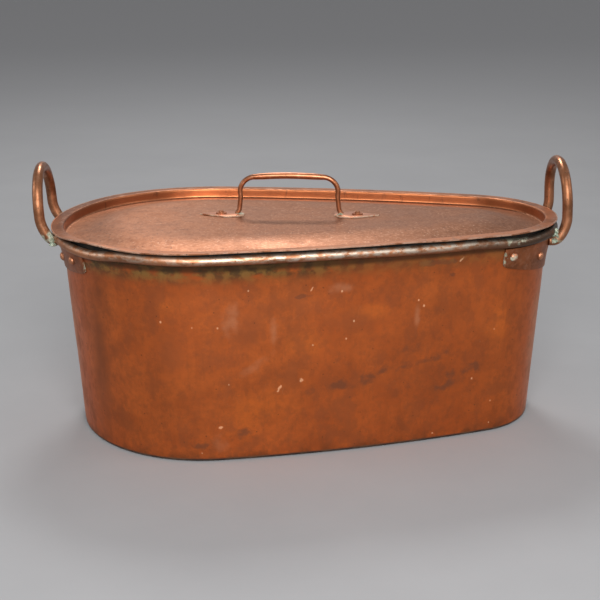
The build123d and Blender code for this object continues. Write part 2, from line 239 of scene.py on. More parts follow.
# %% Make the specks group
specks, given, result = start_group("specks", [
    ("Place", "vector", (0, 0, 0)),
    ("Per Metre", "float", 150),
    ("Radius", "float", 0.2),
    ("Share", "float", 0.3),
], "Mask")
wobble = node("TexNoise", {"Vector": given["Place"], "Scale": 400, "Detail": 2})
offset = node("VectorMath", {0: wobble.outputs["Color"], "Scale": 0.0012}, operation="SCALE").outputs[0]
moved = node("VectorMath", {0: given["Place"], 1: offset}, operation="ADD").outputs[0]
cells = node("TexVoronoi", {"Vector": moved, "Scale": given["Per Metre"]})
outer_radius = maths("MULTIPLY", given["Radius"], 1.5)
dot = ramp(cells.outputs["Distance"], given["Radius"], outer_radius, 1, 0)
pick = node("SeparateColor", {"Color": cells.outputs["Color"]}).outputs["Red"]
fill(result, {"Mask": maths("MULTIPLY", dot, maths("LESS_THAN", pick, given["Share"]))})

# %% [markdown]
# Some marks belong to one place, such as the dark smear across the front. The mark group is a ball of a
# chosen size about a point, drawn out and tilted as needed, with its edge broken up by noise.

# %% Make the mark group
mark, given, result = start_group("mark", [
    ("Place", "vector", (0, 0, 0)),
    ("Centre", "vector", (0, 0, 0)),
    ("Size", "vector", (0.02, 0.02, 0.02)),
    ("Tilt", "float", 0.0),
    ("Full To", "float", 0.45),
    ("Ragged", "float", 0.6),
    ("Per Metre", "float", 60),
], "Mask")
apart = node("VectorMath", {0: given["Place"], 1: given["Centre"]}, operation="SUBTRACT").outputs[0]
tilted = node("VectorRotate", {"Vector": apart, "Angle": given["Tilt"]}, rotation_type="Y_AXIS").outputs[0]
in_sizes = node("VectorMath", {0: tilted, 1: given["Size"]}, operation="DIVIDE").outputs[0]
distance = node("VectorMath", {0: in_sizes}, operation="LENGTH").outputs["Value"]
edge = node("TexNoise", {"Vector": given["Place"], "Scale": given["Per Metre"], "Detail": 4})
ragged = maths("MULTIPLY", maths("SUBTRACT", edge.outputs["Fac"], 0.5), given["Ragged"])
reach = maths("ADD", distance, maths("MULTIPLY", ragged, 2.0))
fill(result, {"Mask": ramp(reach, given["Full To"], 1.0, 1.0, 0.0)})

# %% [markdown]
# Verdigris is the green crust that copper grows where water stands: pale and chalky on top, darker where it
# is thin.

# %% Make the verdigris group
verdigris, given, result = start_group("verdigris", [("Place", "vector", (0, 0, 0))], "Colour", "colour")
fine = node("TexNoise", {"Vector": given["Place"], "Scale": 320, "Detail": 4}).outputs["Fac"]
green = mixed(ramp(fine, 0.35, 0.6), (0.12, 0.17, 0.12, 1), (0.38, 0.44, 0.34, 1))
fill(result, {"Colour": mixed(ramp(fine, 0.55, 0.72), green, (0.68, 0.69, 0.58, 1))})
print("groups:", len(bpy.data.node_groups))

# %% [markdown]
# ## Finishes
# Each finish starts the same way: a Principled shader, and Object coordinates, which are real metres here
# because every piece has its place in its mesh. A finish is built up like the real surface is: the metal, its
# patina, then marks, scratches and specks on top. Each pattern has a short function, which a finish calls
# with the pattern's size and amount.

# %% Start and end a finish
def start_finish(name):
    """Start a material and give back it, its shader and the Object coordinates."""
    material = bpy.data.materials.new(name)
    material.use_nodes = True
    tree = material.node_tree
    return material, tree.nodes["Principled BSDF"], tree.nodes.new("ShaderNodeTexCoord").outputs["Object"]


def bumped(heights):
    """Chain one Bump node for each height: its output, its strength and its depth in metres."""
    normal = None
    for height, strength, depth in heights:
        inputs = {"Height": height, "Strength": strength, "Distance": depth}
        if normal:
            inputs["Normal"] = normal
        normal = node("Bump", inputs).outputs["Normal"]
    return normal


def finished(shader, colour, metallic, rough, bumps):
    """Give a shader its colour, its share of bare metal, its roughness and its bumps."""
    fill(shader, {"Base Color": colour, "Metallic": metallic, "Roughness": rough, "Normal": bumped(bumps)})


# %% Call the patterns
def blotchy(place, per_metre, low, high, stretch=(1, 1, 1)):
    """Soft blotches: none where the noise is under low, full where it is over high."""
    return use(blotches, {
        "Place": place, "Stretch": stretch, "Per Metre": per_metre, "Low": low, "High": high})


def scratched(place, per_metre, width, shown_from, stretch=(1, 1, 1)):
    """Hairline scratches, shown where a coarser noise is over shown_from."""
    return use(scratches, {
        "Place": place, "Stretch": stretch, "Per Metre": per_metre, "Width": width, "Shown From": shown_from})


def speckled(place, per_metre, radius, share):
    """Specks in a share of the cells. The radius is in cells."""
    return use(specks, {"Place": place, "Per Metre": per_metre, "Radius": radius, "Share": share})


def grainy(place, scale, detail):
    """Plain fine noise, for the bumps."""
    return node("TexNoise", {"Vector": place, "Scale": scale, "Detail": detail}).outputs["Fac"]


def along(place, axis):
    """The place along one axis, in metres."""
    return node("SeparateXYZ", {"Vector": place}).outputs[axis]


# %% [markdown]
# The wall of the kettle is orange copper under a thin brown patina. Long soft shadows of grease run up to
# the right across its front, duller upright bands stand at its middle, and lime has left pale specks. Under
# the rim the copper is brassy from polish that never quite came off. The marks have their place in metres.

# %% Place marks on a finish
def marks(place, spots, size, ragged, per_metre=60, full_to=0.45):
    """Place one mark for each spot, in millimetres, and join them. A spot may bring its size and tilt."""
    made = []
    for spot, *shape in spots:
        own_size, tilt = shape if shape else (size, 0)
        made.append(use(mark, {
            "Place": place,
            "Centre": Vector(spot) * MM,
            "Size": Vector(own_size) * MM,
            "Tilt": radians(tilt),
            "Full To": full_to,
            "Ragged": ragged,
            "Per Metre": per_metre,
        }))
    return most(*made)


# %% List the marks on the wall
SMEARS = [((30, -130, 80), (52, 40, 9), 3), ((78, -121, 90), (48, 40, 7), 9),
          ((128, -107, 99), (40, 40, 7), 17), ((100, -118, 112), (34, 40, 7), 12),
          ((172, -93, 80), (34, 40, 9), 10), ((150, -100, 66), (26, 40, 7), 15)]
BANDS = [((-98, -150, 172), (10, 40, 40), 3), ((-66, -148, 150), (26, 40, 46), -6),
         ((-20, -142, 92), (12, 40, 34), 4), ((-225, -100, 120), (16, 60, 120), 0),
         ((-150, -150, 120), (24, 40, 40), 12), ((40, -132, 150), (30, 40, 22), -8)]
SMUDGES = [((-76, -144, 30), (14, 40, 7), 10), ((-115, -146, 19), (16, 40, 6), 0),
           ((-12, -146, 182), (9, 30, 3.5), 0), ((150, -112, 193), (5, 30, 4), 0),
           ((130, -118, 209), (34, 40, 5), 0)]
VIVID = [((-150, -152, 176), (22, 40, 16), 20), ((-60, -140, 60), (60, 40, 34), 5),
         ((0, -140, 130), (40, 40, 20), 0), ((205, -80, 130), (20, 60, 40), 0),
         ((60, -125, 160), (40, 40, 12), -4)]
HAZES = [((-82, -147, 160), (16, 40, 22), -10), ((-40, -143, 140), (6, 40, 22), 0),
         ((-60, -142, 106), (20, 40, 7), 35), ((112, -116, 150), (4, 40, 18), 0),
         ((-100, -148, 24), (12, 40, 12), 0), ((30, -132, 190), (20, 40, 8), 0)]
# The spot of the painted shade at the left end.
LEFT_END_SHADE = [((-224, -104, 110), (20, 60, 150), 0)]
# The spots of the painted reflections at both ends.
END_REFLECTIONS = [((-268, -40, 110), (26, 70, 150), 0), ((262, -50, 100), (22, 60, 150), 0)]
LIME = [(-12, -138, 88), (36, -132, 132), (31, -137, 185), (113, -116, 168), (119, -114, 161),
        (-65, -154, 192), (-87, -149, 89), (-123, -154, 154), (-97, -153, 153), (-155, -148, 159),
        (44, -131, 151), (177, -92, 69)]
SPLASHES = [((-34, -141, 82), (1.5, 12, 5.5), -32), ((-11, -138, 88), (2.6, 12, 2.8), 0),
            ((0, -140, 190), (1.1, 12, 3.4), -30), ((158, -110, 209), (1.3, 12, 3.6), -40),
            ((-96, -149, 40), (2.2, 12, 2.2), 0)]
print("marks on the wall:", len(SMEARS + BANDS + SMUDGES + VIVID + HAZES + LIME + SPLASHES))

# %% [markdown]
# The patina comes first: large patches, streaks that run down and a fine mottle. The marks and the stains of
# old smoke darken it, and the hazes pale it again. A painted shade darkens the left end, and painted
# reflections pale both ends.

# %% Lay the patina of the wall
wall_copper, shader, place = start_finish("worn_copper_wall")
patches = blotchy(place, 9, 0.36, 0.68, (1, 1, 0.6))
clouds = blotchy(place, 26, 0.36, 0.74, (1, 1, 1.4))
streaks = blotchy(place, 95, 0.5, 0.72, (1, 1, 0.09))
mottle = blotchy(place, 150, 0.35, 0.7)
colour = mixed(patches, (0.64, 0.155, 0.036, 1), (0.50, 0.115, 0.027, 1))
colour = painted(colour, clouds, 0.60, (0.37, 0.090, 0.026, 1))
vivid = marks(place, VIVID, None, 0.9, 22, -0.2)
colour = painted(colour, vivid, 0.70, (0.70, 0.170, 0.032, 1))
colour = painted(colour, streaks, 0.22, (0.28, 0.070, 0.022, 1))
colour = painted(colour, mottle, 0.30, (0.30, 0.085, 0.030, 1))
smears = marks(place, SMEARS, None, 1.5, 85, -0.10)
bands = marks(place, BANDS, None, 1.2, 26, -0.10)
smudges = marks(place, SMUDGES, None, 1.3, 90, 0.30)
stains = blotchy(place, 44, 0.47, 0.63, (1, 1, 0.8))
smoke = blotchy(place, 110, 0.50, 0.66, (1, 1, 0.6))
dark = most(maths("MULTIPLY", smears, 0.85), maths("MULTIPLY", bands, 0.42),
            maths("MULTIPLY", smudges, 0.80), maths("MULTIPLY", stains, 0.40),
            maths("MULTIPLY", smoke, 0.28))
colour = mixed(dark, colour, (0.15, 0.048, 0.020, 1))
hazes = marks(place, HAZES, None, 1.2, 60, -0.2)
colour = painted(colour, hazes, 0.45, (0.62, 0.26, 0.13, 1))
# Painted shade: the left end of the wall, where it curves away, is made darker.
painted_left_end_shade = marks(place, LEFT_END_SHADE, None, 0.7, 20, -0.1)
colour = painted(colour, painted_left_end_shade, 0.55, (0.17, 0.055, 0.022, 1))
# Painted reflection: both curved ends of the wall are made paler.
painted_end_reflections = marks(place, END_REFLECTIONS, None, 0.7, 30, -0.2)
colour = painted(colour, painted_end_reflections, 0.50, (0.58, 0.30, 0.17, 1))

# %% [markdown]
# What happens at a height comes next: brassy polish under the rim, a band of painted shade just under the
# bead and blotches that darken towards the foot. The very foot and the underside are painted nearly black,
# as the shadow where the kettle stands on the floor.

# %% Finish the wall under the rim and at the foot
height = along(place, "Z")
under_rim = ramp(height, 0.196, 0.213)
left_part = ramp(along(place, "X"), -0.02, 0.08, 1.0, 0.45)
brassy = blotchy(place, 34, 0.30, 0.52, (1, 1, 2))
brassy = maths("MULTIPLY", maths("MULTIPLY", under_rim, brassy), left_part)
golden = blotchy(place, 75, 0.42, 0.58)
colour = mixed(brassy, colour, mixed(golden, (0.120, 0.066, 0.028, 1), (0.30, 0.155, 0.045, 1)))
# Painted shade: a dark band just under the bead, where the rim overhangs the wall.
painted_under_bead_shade = ramp(height, 0.2115, 0.2165)
colour = painted(colour, painted_under_bead_shade, 0.75, (0.045, 0.026, 0.014, 1))
# Blotches that darken the wall towards the foot.
near_foot = ramp(height, 0.002, 0.016, 1.0, 0.0)
foot_blotches = blotchy(place, 55, 0.4, 0.65)
near_foot = maths("MULTIPLY", near_foot, maths("MULTIPLY", foot_blotches, 0.6))
colour = mixed(near_foot, colour, (0.11, 0.045, 0.02, 1))
# Painted shadow: the lowest few millimetres are made nearly black, as the contact shadow on the floor.
painted_contact_shadow = ramp(height, 0.0028, 0.0052, 0.95, 0.0)
painted_shadow_tone = mixed(foot_blotches, (0.012, 0.010, 0.009, 1), (0.085, 0.045, 0.024, 1))
colour = mixed(painted_contact_shadow, colour, painted_shadow_tone)

# %% [markdown]
# Scratches, pits and drops of lime lie on top of everything. Lime isn't metal, so the finish is less metallic
# there, and also under the painted shadow along the foot.

# %% Scratch and speckle the wall
lines = scratched(place, 22, 0.0030, 0.55)
fine_lines = scratched(place, 90, 0.010, 0.55, (1, 1, 2.6))
colour = painted(colour, most(lines, fine_lines), 0.22, (0.66, 0.30, 0.14, 1))
pits = speckled(place, 170, 0.11, 0.10)
colour = painted(colour, pits, 0.6, (0.10, 0.040, 0.018, 1))
drops = speckled(place, 60, 0.045, 0.10)
lime = most(marks(place, [(spot,) for spot in LIME], (1.3, 6, 1.7), 0.9),
            marks(place, SPLASHES, None, 1.6, 240), drops)
colour = painted(colour, lime, 0.45, (0.56, 0.37, 0.21, 1))
rough = ramp(patches, 0, 1, 0.40, 0.48)
rough = maths("ADD", rough, maths("MULTIPLY", most(dark, lime, painted_contact_shadow), 0.2))
grain = grainy(place, 900, 3)
hammered = node("TexVoronoi", {"Vector": place, "Scale": 62}, feature="SMOOTH_F1").outputs["Distance"]
finished(shader, colour,
         metallic=ramp(most(lime, painted_contact_shadow, maths("MULTIPLY", dark, 0.4)), 0, 1, 0.90, 0.35),
         rough=rough,
         bumps=[(hammered, 0.08, 0.0006), (grain, 0.08, 0.0002), (pits, 0.3, -0.0002)])

# %% [markdown]
# The rim was tinned with the inside and has worn through on top, so it is brown copper with silvery patches
# along its crest. The narrow end has gone nearly black, and a green-grey scale sits in a few places in front.

# %% Finish the rim
rim_copper, shader, place = start_finish("worn_copper_rim")
crest = ramp(along(place, "Z"), 0.2215, 0.2262)
worn = blotchy(place, 95, 0.40, 0.60, (1, 1, 2))
patches = blotchy(place, 28, 0.38, 0.64)
colour = mixed(patches, (0.42, 0.180, 0.088, 1), (0.25, 0.105, 0.050, 1))
grey_end = ramp(along(place, "X"), 0.12, 0.24)
middle_part = ramp(along(place, "X"), -0.16, 0.02)
silver = maths("MULTIPLY", worn, ramp(middle_part, 0, 1, 0.45, 0.95))
silver = maths("MULTIPLY", crest, silver)
colour = mixed(silver, colour, (0.56, 0.47, 0.38, 1))
colour = painted(colour, grey_end, 0.86, (0.060, 0.042, 0.030, 1))
SCALES = [((208, -92, 226), (26, 14, 4), 0), ((60, -128, 226), (14, 10, 3), 0),
          ((-40, -148, 226), (30, 10, 3), 0)]
scaly = marks(place, SCALES, None, 1.6, 150)
colour = painted(colour, scaly, 0.65, (0.42, 0.43, 0.33, 1))
# Painted shade: the underside of the bead is made nearly black.
below = ramp(along(place, "Z"), 0.2176, 0.2200, 1.0, 0.0)
colour = painted(colour, below, 0.85, (0.035, 0.022, 0.014, 1))
pits = speckled(place, 260, 0.16, 0.25)
colour = painted(colour, pits, 0.7, (0.07, 0.04, 0.022, 1))
grain = grainy(place, 700, 3)
finished(shader, colour,
         metallic=0.93,
         rough=ramp(silver, 0, 1, 0.48, 0.40),
         bumps=[(worn, 0.12, 0.0003), (grain, 0.12, 0.0002), (pits, 0.35, -0.0002)])

# %% [markdown]
# Copper that touches food is tinned. The tin is grey and dull, wiped on by hand, and thin enough in places
# to let the copper show.

# %% Finish the tinned inside
tinned, shader, place = start_finish("wiped_tin")
wiped = blotchy(place, 26, 0.35, 0.68, (1, 1, 4))
dull = blotchy(place, 14, 0.40, 0.62)
bare = blotchy(place, 48, 0.62, 0.74)
pits = speckled(place, 210, 0.13, 0.2)
colour = mixed(wiped, (0.56, 0.55, 0.52, 1), (0.40, 0.38, 0.35, 1))
colour = painted(colour, dull, 0.5, (0.30, 0.27, 0.24, 1))
colour = painted(colour, bare, 0.55, (0.48, 0.23, 0.13, 1))
colour = painted(colour, pits, 0.8, (0.10, 0.085, 0.07, 1))
grain = grainy(place, 500, 4)
finished(shader, colour,
         metallic=0.92,
         rough=ramp(dull, 0, 1, 0.36, 0.52),
         bumps=[(wiped, 0.15, 0.0004), (grain, 0.10, 0.0002), (pits, 0.3, -0.0002)])

# %% [markdown]
# The lid is cleaner than the wall: a pinkish satin copper that is rubbed each time it is lifted, and painted
# darker towards the right as shade. It carries fine scratches in every direction, dark pits and small pale
# drops.

# %% Finish the top of the lid
lid_copper, shader, place = start_finish("satin_copper_lid")
patches = blotchy(place, 16, 0.36, 0.68)
mottle = blotchy(place, 90, 0.40, 0.70)
bands = blotchy(place, 34, 0.45, 0.7, (0.25, 3, 1))
colour = mixed(patches, (0.48, 0.205, 0.106, 1), (0.35, 0.140, 0.066, 1))
colour = painted(colour, mottle, 0.45, (0.22, 0.080, 0.038, 1))
colour = painted(colour, bands, 0.3, (0.48, 0.205, 0.110, 1))
# Painted shade: the panel turns darker towards the right.
colour = mixed(ramp(along(place, "X"), -0.23, -0.03, 0.0, 0.64), colour, (0.15, 0.060, 0.028, 1))
rubbed = blotchy(place, 330, 0.48, 0.66, (1, 1.6, 1))
dulled = blotchy(place, 210, 0.50, 0.68, (1.4, 1, 1))
colour = painted(colour, rubbed, 0.34, (0.62, 0.35, 0.23, 1))
colour = painted(colour, dulled, 0.40, (0.17, 0.065, 0.032, 1))
lines = scratched(place, 60, 0.0075, 0.42, (1, 2.2, 1))
cross_lines = scratched(place, 75, 0.009, 0.45, (2.4, 0.8, 1))
colour = painted(colour, lines, 0.45, (0.64, 0.38, 0.25, 1))
colour = painted(colour, cross_lines, 0.45, (0.20, 0.075, 0.035, 1))
pits = speckled(place, 230, 0.16, 0.30)
drops = speckled(place, 260, 0.15, 0.22)
colour = painted(colour, pits, 0.8, (0.12, 0.05, 0.030, 1))
colour = painted(colour, drops, 0.42, (0.70, 0.50, 0.38, 1))
grain = grainy(place, 800, 3)
finished(shader, colour,
         metallic=ramp(drops, 0, 1, 0.93, 0.7),
         rough=ramp(patches, 0, 1, 0.43, 0.52),
         bumps=[(bands, 0.10, 0.0004), (grain, 0.10, 0.0002), (lines, 0.2, -0.0001), (pits, 0.3, -0.0002)])

# %% [markdown]
# The short upright wall of the lid is seldom touched, so it has kept a warmer orange. The flange around it is
# brown and dull at the left, and rubbed lighter along the front, where it is taken hold of.

# %% Finish the short wall of the lid
recess_copper, shader, place = start_finish("orange_copper_recess")
patches = blotchy(place, 30, 0.38, 0.66)
nicks = blotchy(place, 120, 0.60, 0.68, (1, 1, 0.3))
colour = mixed(patches, (0.43, 0.145, 0.056, 1), (0.31, 0.102, 0.041, 1))
colour = mixed(ramp(along(place, "X"), -0.26, -0.12, 0.7, 0.0), colour, (0.26, 0.095, 0.045, 1))
colour = painted(colour, nicks, 0.7, (0.16, 0.060, 0.030, 1))
grain = grainy(place, 800, 3)
finished(shader, colour,
         metallic=0.92,
         rough=ramp(patches, 0, 1, 0.32, 0.42),
         bumps=[(patches, 0.2, 0.0004), (grain, 0.10, 0.0002)])

# %% Finish the flange of the lid
flange_copper, shader, place = start_finish("brown_copper_flange")
patches = blotchy(place, 34, 0.38, 0.64)
rubs = blotchy(place, 120, 0.48, 0.70)
colour = mixed(patches, (0.36, 0.135, 0.062, 1), (0.21, 0.078, 0.036, 1))
colour = mixed(ramp(along(place, "X"), -0.26, -0.05, 0.60, 0.0), colour, (0.12, 0.046, 0.024, 1))
front = ramp(along(place, "Y"), -0.11, -0.03, 0.75, 0.0)
colour = mixed(front, colour, (0.50, 0.205, 0.105, 1))
colour = painted(colour, rubs, 0.40, (0.54, 0.27, 0.16, 1))
pits = speckled(place, 230, 0.15, 0.25)
lines = scratched(place, 110, 0.012, 0.42)
colour = painted(colour, lines, 0.4, (0.72, 0.46, 0.32, 1))
colour = painted(colour, pits, 0.8, (0.08, 0.045, 0.028, 1))
grain = grainy(place, 800, 3)
finished(shader, colour,
         metallic=0.92,
         rough=ramp(rubs, 0, 1, 0.46, 0.34),
         bumps=[(rubs, 0.2, 0.0003), (grain, 0.10, 0.0002), (pits, 0.35, -0.0002)])

# %% [markdown]
# The very edge of the lid is painted pale and bright, as the highlight that runs along it.

# %% Finish the edge of the lid
edge_highlight_copper, shader, place = start_finish("painted_highlight_edge")
# Painted highlight: blotches of pale bright copper along the very edge, with dark nicks.
rubs = blotchy(place, 70, 0.36, 0.60)
nicks = speckled(place, 240, 0.2, 0.3)
colour = mixed(rubs, (0.34, 0.135, 0.065, 1), (0.80, 0.47, 0.32, 1))
colour = painted(colour, nicks, 0.6, (0.10, 0.050, 0.030, 1))
finished(shader, colour,
         metallic=0.92,
         rough=ramp(rubs, 0, 1, 0.42, 0.28),
         bumps=[(rubs, 0.2, 0.0002), (nicks, 0.3, -0.0002)])

# %% [markdown]
# Under its flange the lid is painted nearly black as shade, which makes the gap above the rim so dark.

# %% Finish the underside of the flange
painted_gap_shade, shader, place = start_finish("painted_shade_underside")
# Painted shade: a nearly black sheet under the flange, in blotches.
shade_blotches = blotchy(place, 80, 0.4, 0.7)
finished(shader, mixed(shade_blotches, (0.012, 0.011, 0.010, 1), (0.040, 0.026, 0.016, 1)),
         metallic=0.3,
         rough=ramp(shade_blotches, 0, 1, 0.75, 0.55),
         bumps=[(shade_blotches, 0.3, 0.0003)])

# %% [markdown]
# Rods and fittings are solid copper, browner than the sheet. Hands polish the tops of the loops, and
# verdigris fills the corners that no hand reaches. One function makes the finish for rods, strips and
# rivets; what differs is how high the polish starts and where the green sits.

# %% Finish the rods and fittings
def fitting_finish(name, bright, brown, polished_from, polished_at, green_spots, green_size):
    """Brown solid copper, polished above a height, with verdigris at some spots."""
    material, shader, place = start_finish(name)
    height = along(place, "Z")
    patches = blotchy(place, 45, 0.36, 0.66)
    rubs = blotchy(place, 170, 0.46, 0.72)
    handled = ramp(height, polished_from, polished_at)
    colour = mixed(maths("MULTIPLY", patches, ramp(handled, 0, 1, 0.9, 0.35)), bright, brown)
    colour = painted(colour, rubs, ramp(handled, 0, 1, 0.18, 0.55), (0.68, 0.36, 0.23, 1))
    lines = scratched(place, 120, 0.012, 0.45)
    colour = painted(colour, lines, 0.3, (0.62, 0.33, 0.20, 1))
    colour = painted(colour, handled, 0.5, bright)
    pits = speckled(place, 260, 0.16, 0.28)
    colour = painted(colour, pits, 0.75, (0.07, 0.040, 0.025, 1))
    green = marks(place, [(spot,) for spot in green_spots], green_size, 1.5, 160)
    colour = painted(colour, green, 0.8, use(verdigris, {"Place": place}))
    grain = grainy(place, 600, 4)
    rough = ramp(handled, 0, 1, 0.48, 0.33)
    finished(shader, colour,
             metallic=ramp(green, 0, 1, 0.93, 0.1),
             rough=maths("ADD", rough, maths("MULTIPLY", green, 0.4)),
             bumps=[(patches, 0.15, 0.0004), (grain, 0.15, 0.0002), (pits, 0.4, -0.0003)])
    return material


crooks = [(-281, -43, 221), (-281, 43, 221), (274, -43, 217), (274, 43, 217)]
rod_copper = fitting_finish(
    "brown_copper_rod", (0.31, 0.128, 0.062, 1), (0.15, 0.058, 0.025, 1), 0.262, 0.290, crooks, (8, 9, 9))
strip_ends = [(-232, -101, 205), (-232, 101, 205), (204, -92, 205), (204, 92, 205)]
strip_copper = fitting_finish(
    "brown_copper_strip", (0.33, 0.105, 0.040, 1), (0.19, 0.062, 0.024, 1), 0.30, 0.31,
    strip_ends, (5, 5, 13))
rivet_copper = fitting_finish(
    "copper_rivet", (0.52, 0.23, 0.125, 1), (0.30, 0.115, 0.055, 1), 0.30, 0.31, strip_ends, (21, 21, 9))
bail_copper = fitting_finish(
    "satin_copper_bail", (0.29, 0.108, 0.050, 1), (0.22, 0.074, 0.028, 1), 0.256, 0.272,
    [(-75, 14, 231), (39, 4, 231)], (5, 5, 3))
leaf_copper = fitting_finish(
    "satin_copper_leaf", (0.62, 0.270, 0.155, 1), (0.45, 0.175, 0.088, 1), 0.20, 0.21,
    [(-74, 14, 231), (38, 4, 231)], (6, 6, 3))

# %% [markdown]
# The edges of the leaves carry a pale broken line: a painted highlight, with a chalky texture of dried lime.
# The crust in the corners is the same green all through, and the wire in the rim is plain iron.

# %% Finish the leaf edges, the crust and the iron wire
lime_and_highlight_edge, shader, place = start_finish("leaf_edge_lime_and_highlight")
# Painted highlight on the edge faces of the leaves, broken up with a chalky texture like dried lime.
pale_edge_line = blotchy(place, 220, 0.36, 0.52)
chalk = blotchy(place, 600, 0.3, 0.7)
colour = mixed(chalk, (0.34, 0.30, 0.22, 1), (0.58, 0.52, 0.42, 1))
finished(shader, mixed(maths("MULTIPLY", pale_edge_line, 0.55), (0.40, 0.165, 0.085, 1), colour),
         metallic=ramp(pale_edge_line, 0, 1, 0.9, 0.4),
         rough=ramp(pale_edge_line, 0, 1, 0.42, 0.85),
         bumps=[(chalk, 0.4, 0.0003)])
crust, shader, place = start_finish("verdigris_crust")
grain = grainy(place, 1400, 5)
dirt = blotchy(place, 160, 0.45, 0.65)
colour = mixed(dirt, use(verdigris, {"Place": place}), (0.12, 0.085, 0.05, 1))
finished(shader, colour,
         metallic=0.05,
         rough=0.85,
         bumps=[(grain, 0.6, 0.0006)])
iron, shader, place = start_finish("iron_wire")
rust = blotchy(place, 120, 0.4, 0.6)
finished(shader, mixed(rust, (0.10, 0.095, 0.09, 1), (0.20, 0.075, 0.03, 1)),
         metallic=0.8,
         rough=ramp(rust, 0, 1, 0.45, 0.85),
         bumps=[(rust, 0.4, 0.0003)])
print("finishes:", len(bpy.data.materials))

# %% [markdown]
# ## The plan
# Seen from above the kettle is an egg: a wide round end at the left, a narrower one at the right, and two
# gently bowed sides. Those are four arcs that run into each other. Every copy of the outline that is moved
# in by some distance, its inset, keeps the same four centres, so a profile can be spun round them in turn.

# %% Lay out the four arcs
wide_centre, wide_radius = Vector((-112.5, 0, 0)) * MM, 169 * MM
narrow_centre, narrow_radius = Vector((173.5, 0, 0)) * MM, 108 * MM
side_radius = 1406 * MM
wide_reach = side_radius - wide_radius
narrow_reach = side_radius - narrow_radius
between = narrow_centre.x - wide_centre.x
side_x = wide_centre.x + (narrow_reach**2 - wide_reach**2 - between**2) / (-2 * between)
side_y = sqrt(wide_reach**2 - (wide_centre.x - side_x) ** 2)
wide_angle = atan2(side_y, wide_centre.x - side_x)
narrow_angle = atan2(side_y, narrow_centre.x - side_x)
back_centre, front_centre = Vector((side_x, -side_y, 0)), Vector((side_x, side_y, 0))
arcs = (
    (narrow_centre, narrow_radius, 2 * narrow_angle),
    (back_centre, side_radius, wide_angle - narrow_angle),
    (wide_centre, wide_radius, 2 * pi - 2 * wide_angle),
    (front_centre, side_radius, wide_angle - narrow_angle),
)


def inset_of(point):
    """How far inside the rim's outline a point lies."""
    flat = Vector((point.x, abs(point.y), 0))
    around = atan2(flat.y - back_centre.y, flat.x - back_centre.x)
    if around > wide_angle:
        return wide_radius - (flat - wide_centre).length
    if around < narrow_angle:
        return narrow_radius - (flat - narrow_centre).length
    return side_radius - (flat - back_centre).length


start_out = Vector((cos(narrow_angle), -sin(narrow_angle), 0))
up = Vector((0, 0, 1))


def start_profile(mesh, points, closed=False):
    """Stand a profile at the start of the first arc. Its points are inset and height in millimetres."""
    made = []
    for inset, height in points:
        out = start_out * (narrow_radius - inset * MM)
        made.append(mesh.verts.new(narrow_centre + out + up * height * MM))
    edges = [mesh.edges.new(pair) for pair in zip(made, made[1:])]
    if closed:
        edges.append(mesh.edges.new((made[-1], made[0])))
    return made + edges


ROW_WIDTH = 4.5
SAME_PLACE = 0.05


def closed_up(mesh, apart):
    """Merge the points that lie within some millimetres, and turn the faces outwards."""
    bmesh.ops.remove_doubles(mesh, verts=mesh.verts, dist=apart * MM)
    bmesh.ops.recalc_face_normals(mesh, faces=mesh.faces)


def carry_round(mesh, profile, step=ROW_WIDTH):
    """Spin a profile round the four arcs, with a row of faces about every step, and close the seam."""
    for centre, radius, angle in arcs:
        steps = ceil(angle * radius / (step * MM))
        made = bmesh.ops.spin(
            mesh, geom=profile, cent=centre, axis=up, dvec=(0, 0, 0), angle=angle, steps=steps)
        profile = made["geom_last"]
    closed_up(mesh, SAME_PLACE)
    print("open edges:", sum(edge.is_boundary for edge in mesh.edges))


print("plan:", round((wide_radius + narrow_radius + between) / MM), "mm long")

# %% [markdown]
# ## Finishing a piece
# Every piece ends the same way: it gets its name and finishes, smooth shading with sharp edges kept and a
# body to ride on, and the CAD node it stands for is hidden. Edges that are still open stay sharp too, since
# Solidify turns them into the square cut edge of a sheet.

# %% Define how a piece is finished
sharp_from = radians(38)


def finish_piece(name, mesh, finishes, body, replaced):
    """Turn a bmesh into a finished piece on a body, and print its size."""
    data = bpy.data.meshes.new(name)
    mesh.edges.index_update()
    open_edges = [edge.index for edge in mesh.edges if edge.is_boundary]
    mesh.to_mesh(data)
    mesh.free()
    data.shade_smooth()
    data.set_sharp_from_angle(angle=sharp_from)
    for index in open_edges:
        data.edges[index].use_edge_sharp = True
    for finish in finishes:
        data.materials.append(finish)
    piece = put(name, data)
    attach(piece, body)
    if replaced:
        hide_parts(*replaced)
    print(f"{name}: {len(data.polygons)} faces")
    return piece


def soft_step(value, low, high):
    """A smooth step from 0 at low to 1 at high."""
    share = min(max((value - low) / (high - low), 0), 1)
    return share * share * (3 - 2 * share)


def waver(place, size, seed):
    """Smooth noise from about -1 to 1, with waves of about size metres."""
    return noise.noise(place / size + Vector((seed, 3 * seed, 7 * seed)))


# %% [markdown]
# ## The wall
# The wall is one sheet, raised by hand, flared a little under the rim and rolled outward over an iron wire.
# A profile holds all of it: the outer face, the round bead with the crease below it, and the tinned inner
# face. Spun round the plan it is perfect, so afterwards it is pushed about by less than a millimetre, as a
# hammer and two centuries of cooks would. Both faces move alike, so the sheet keeps its thickness.

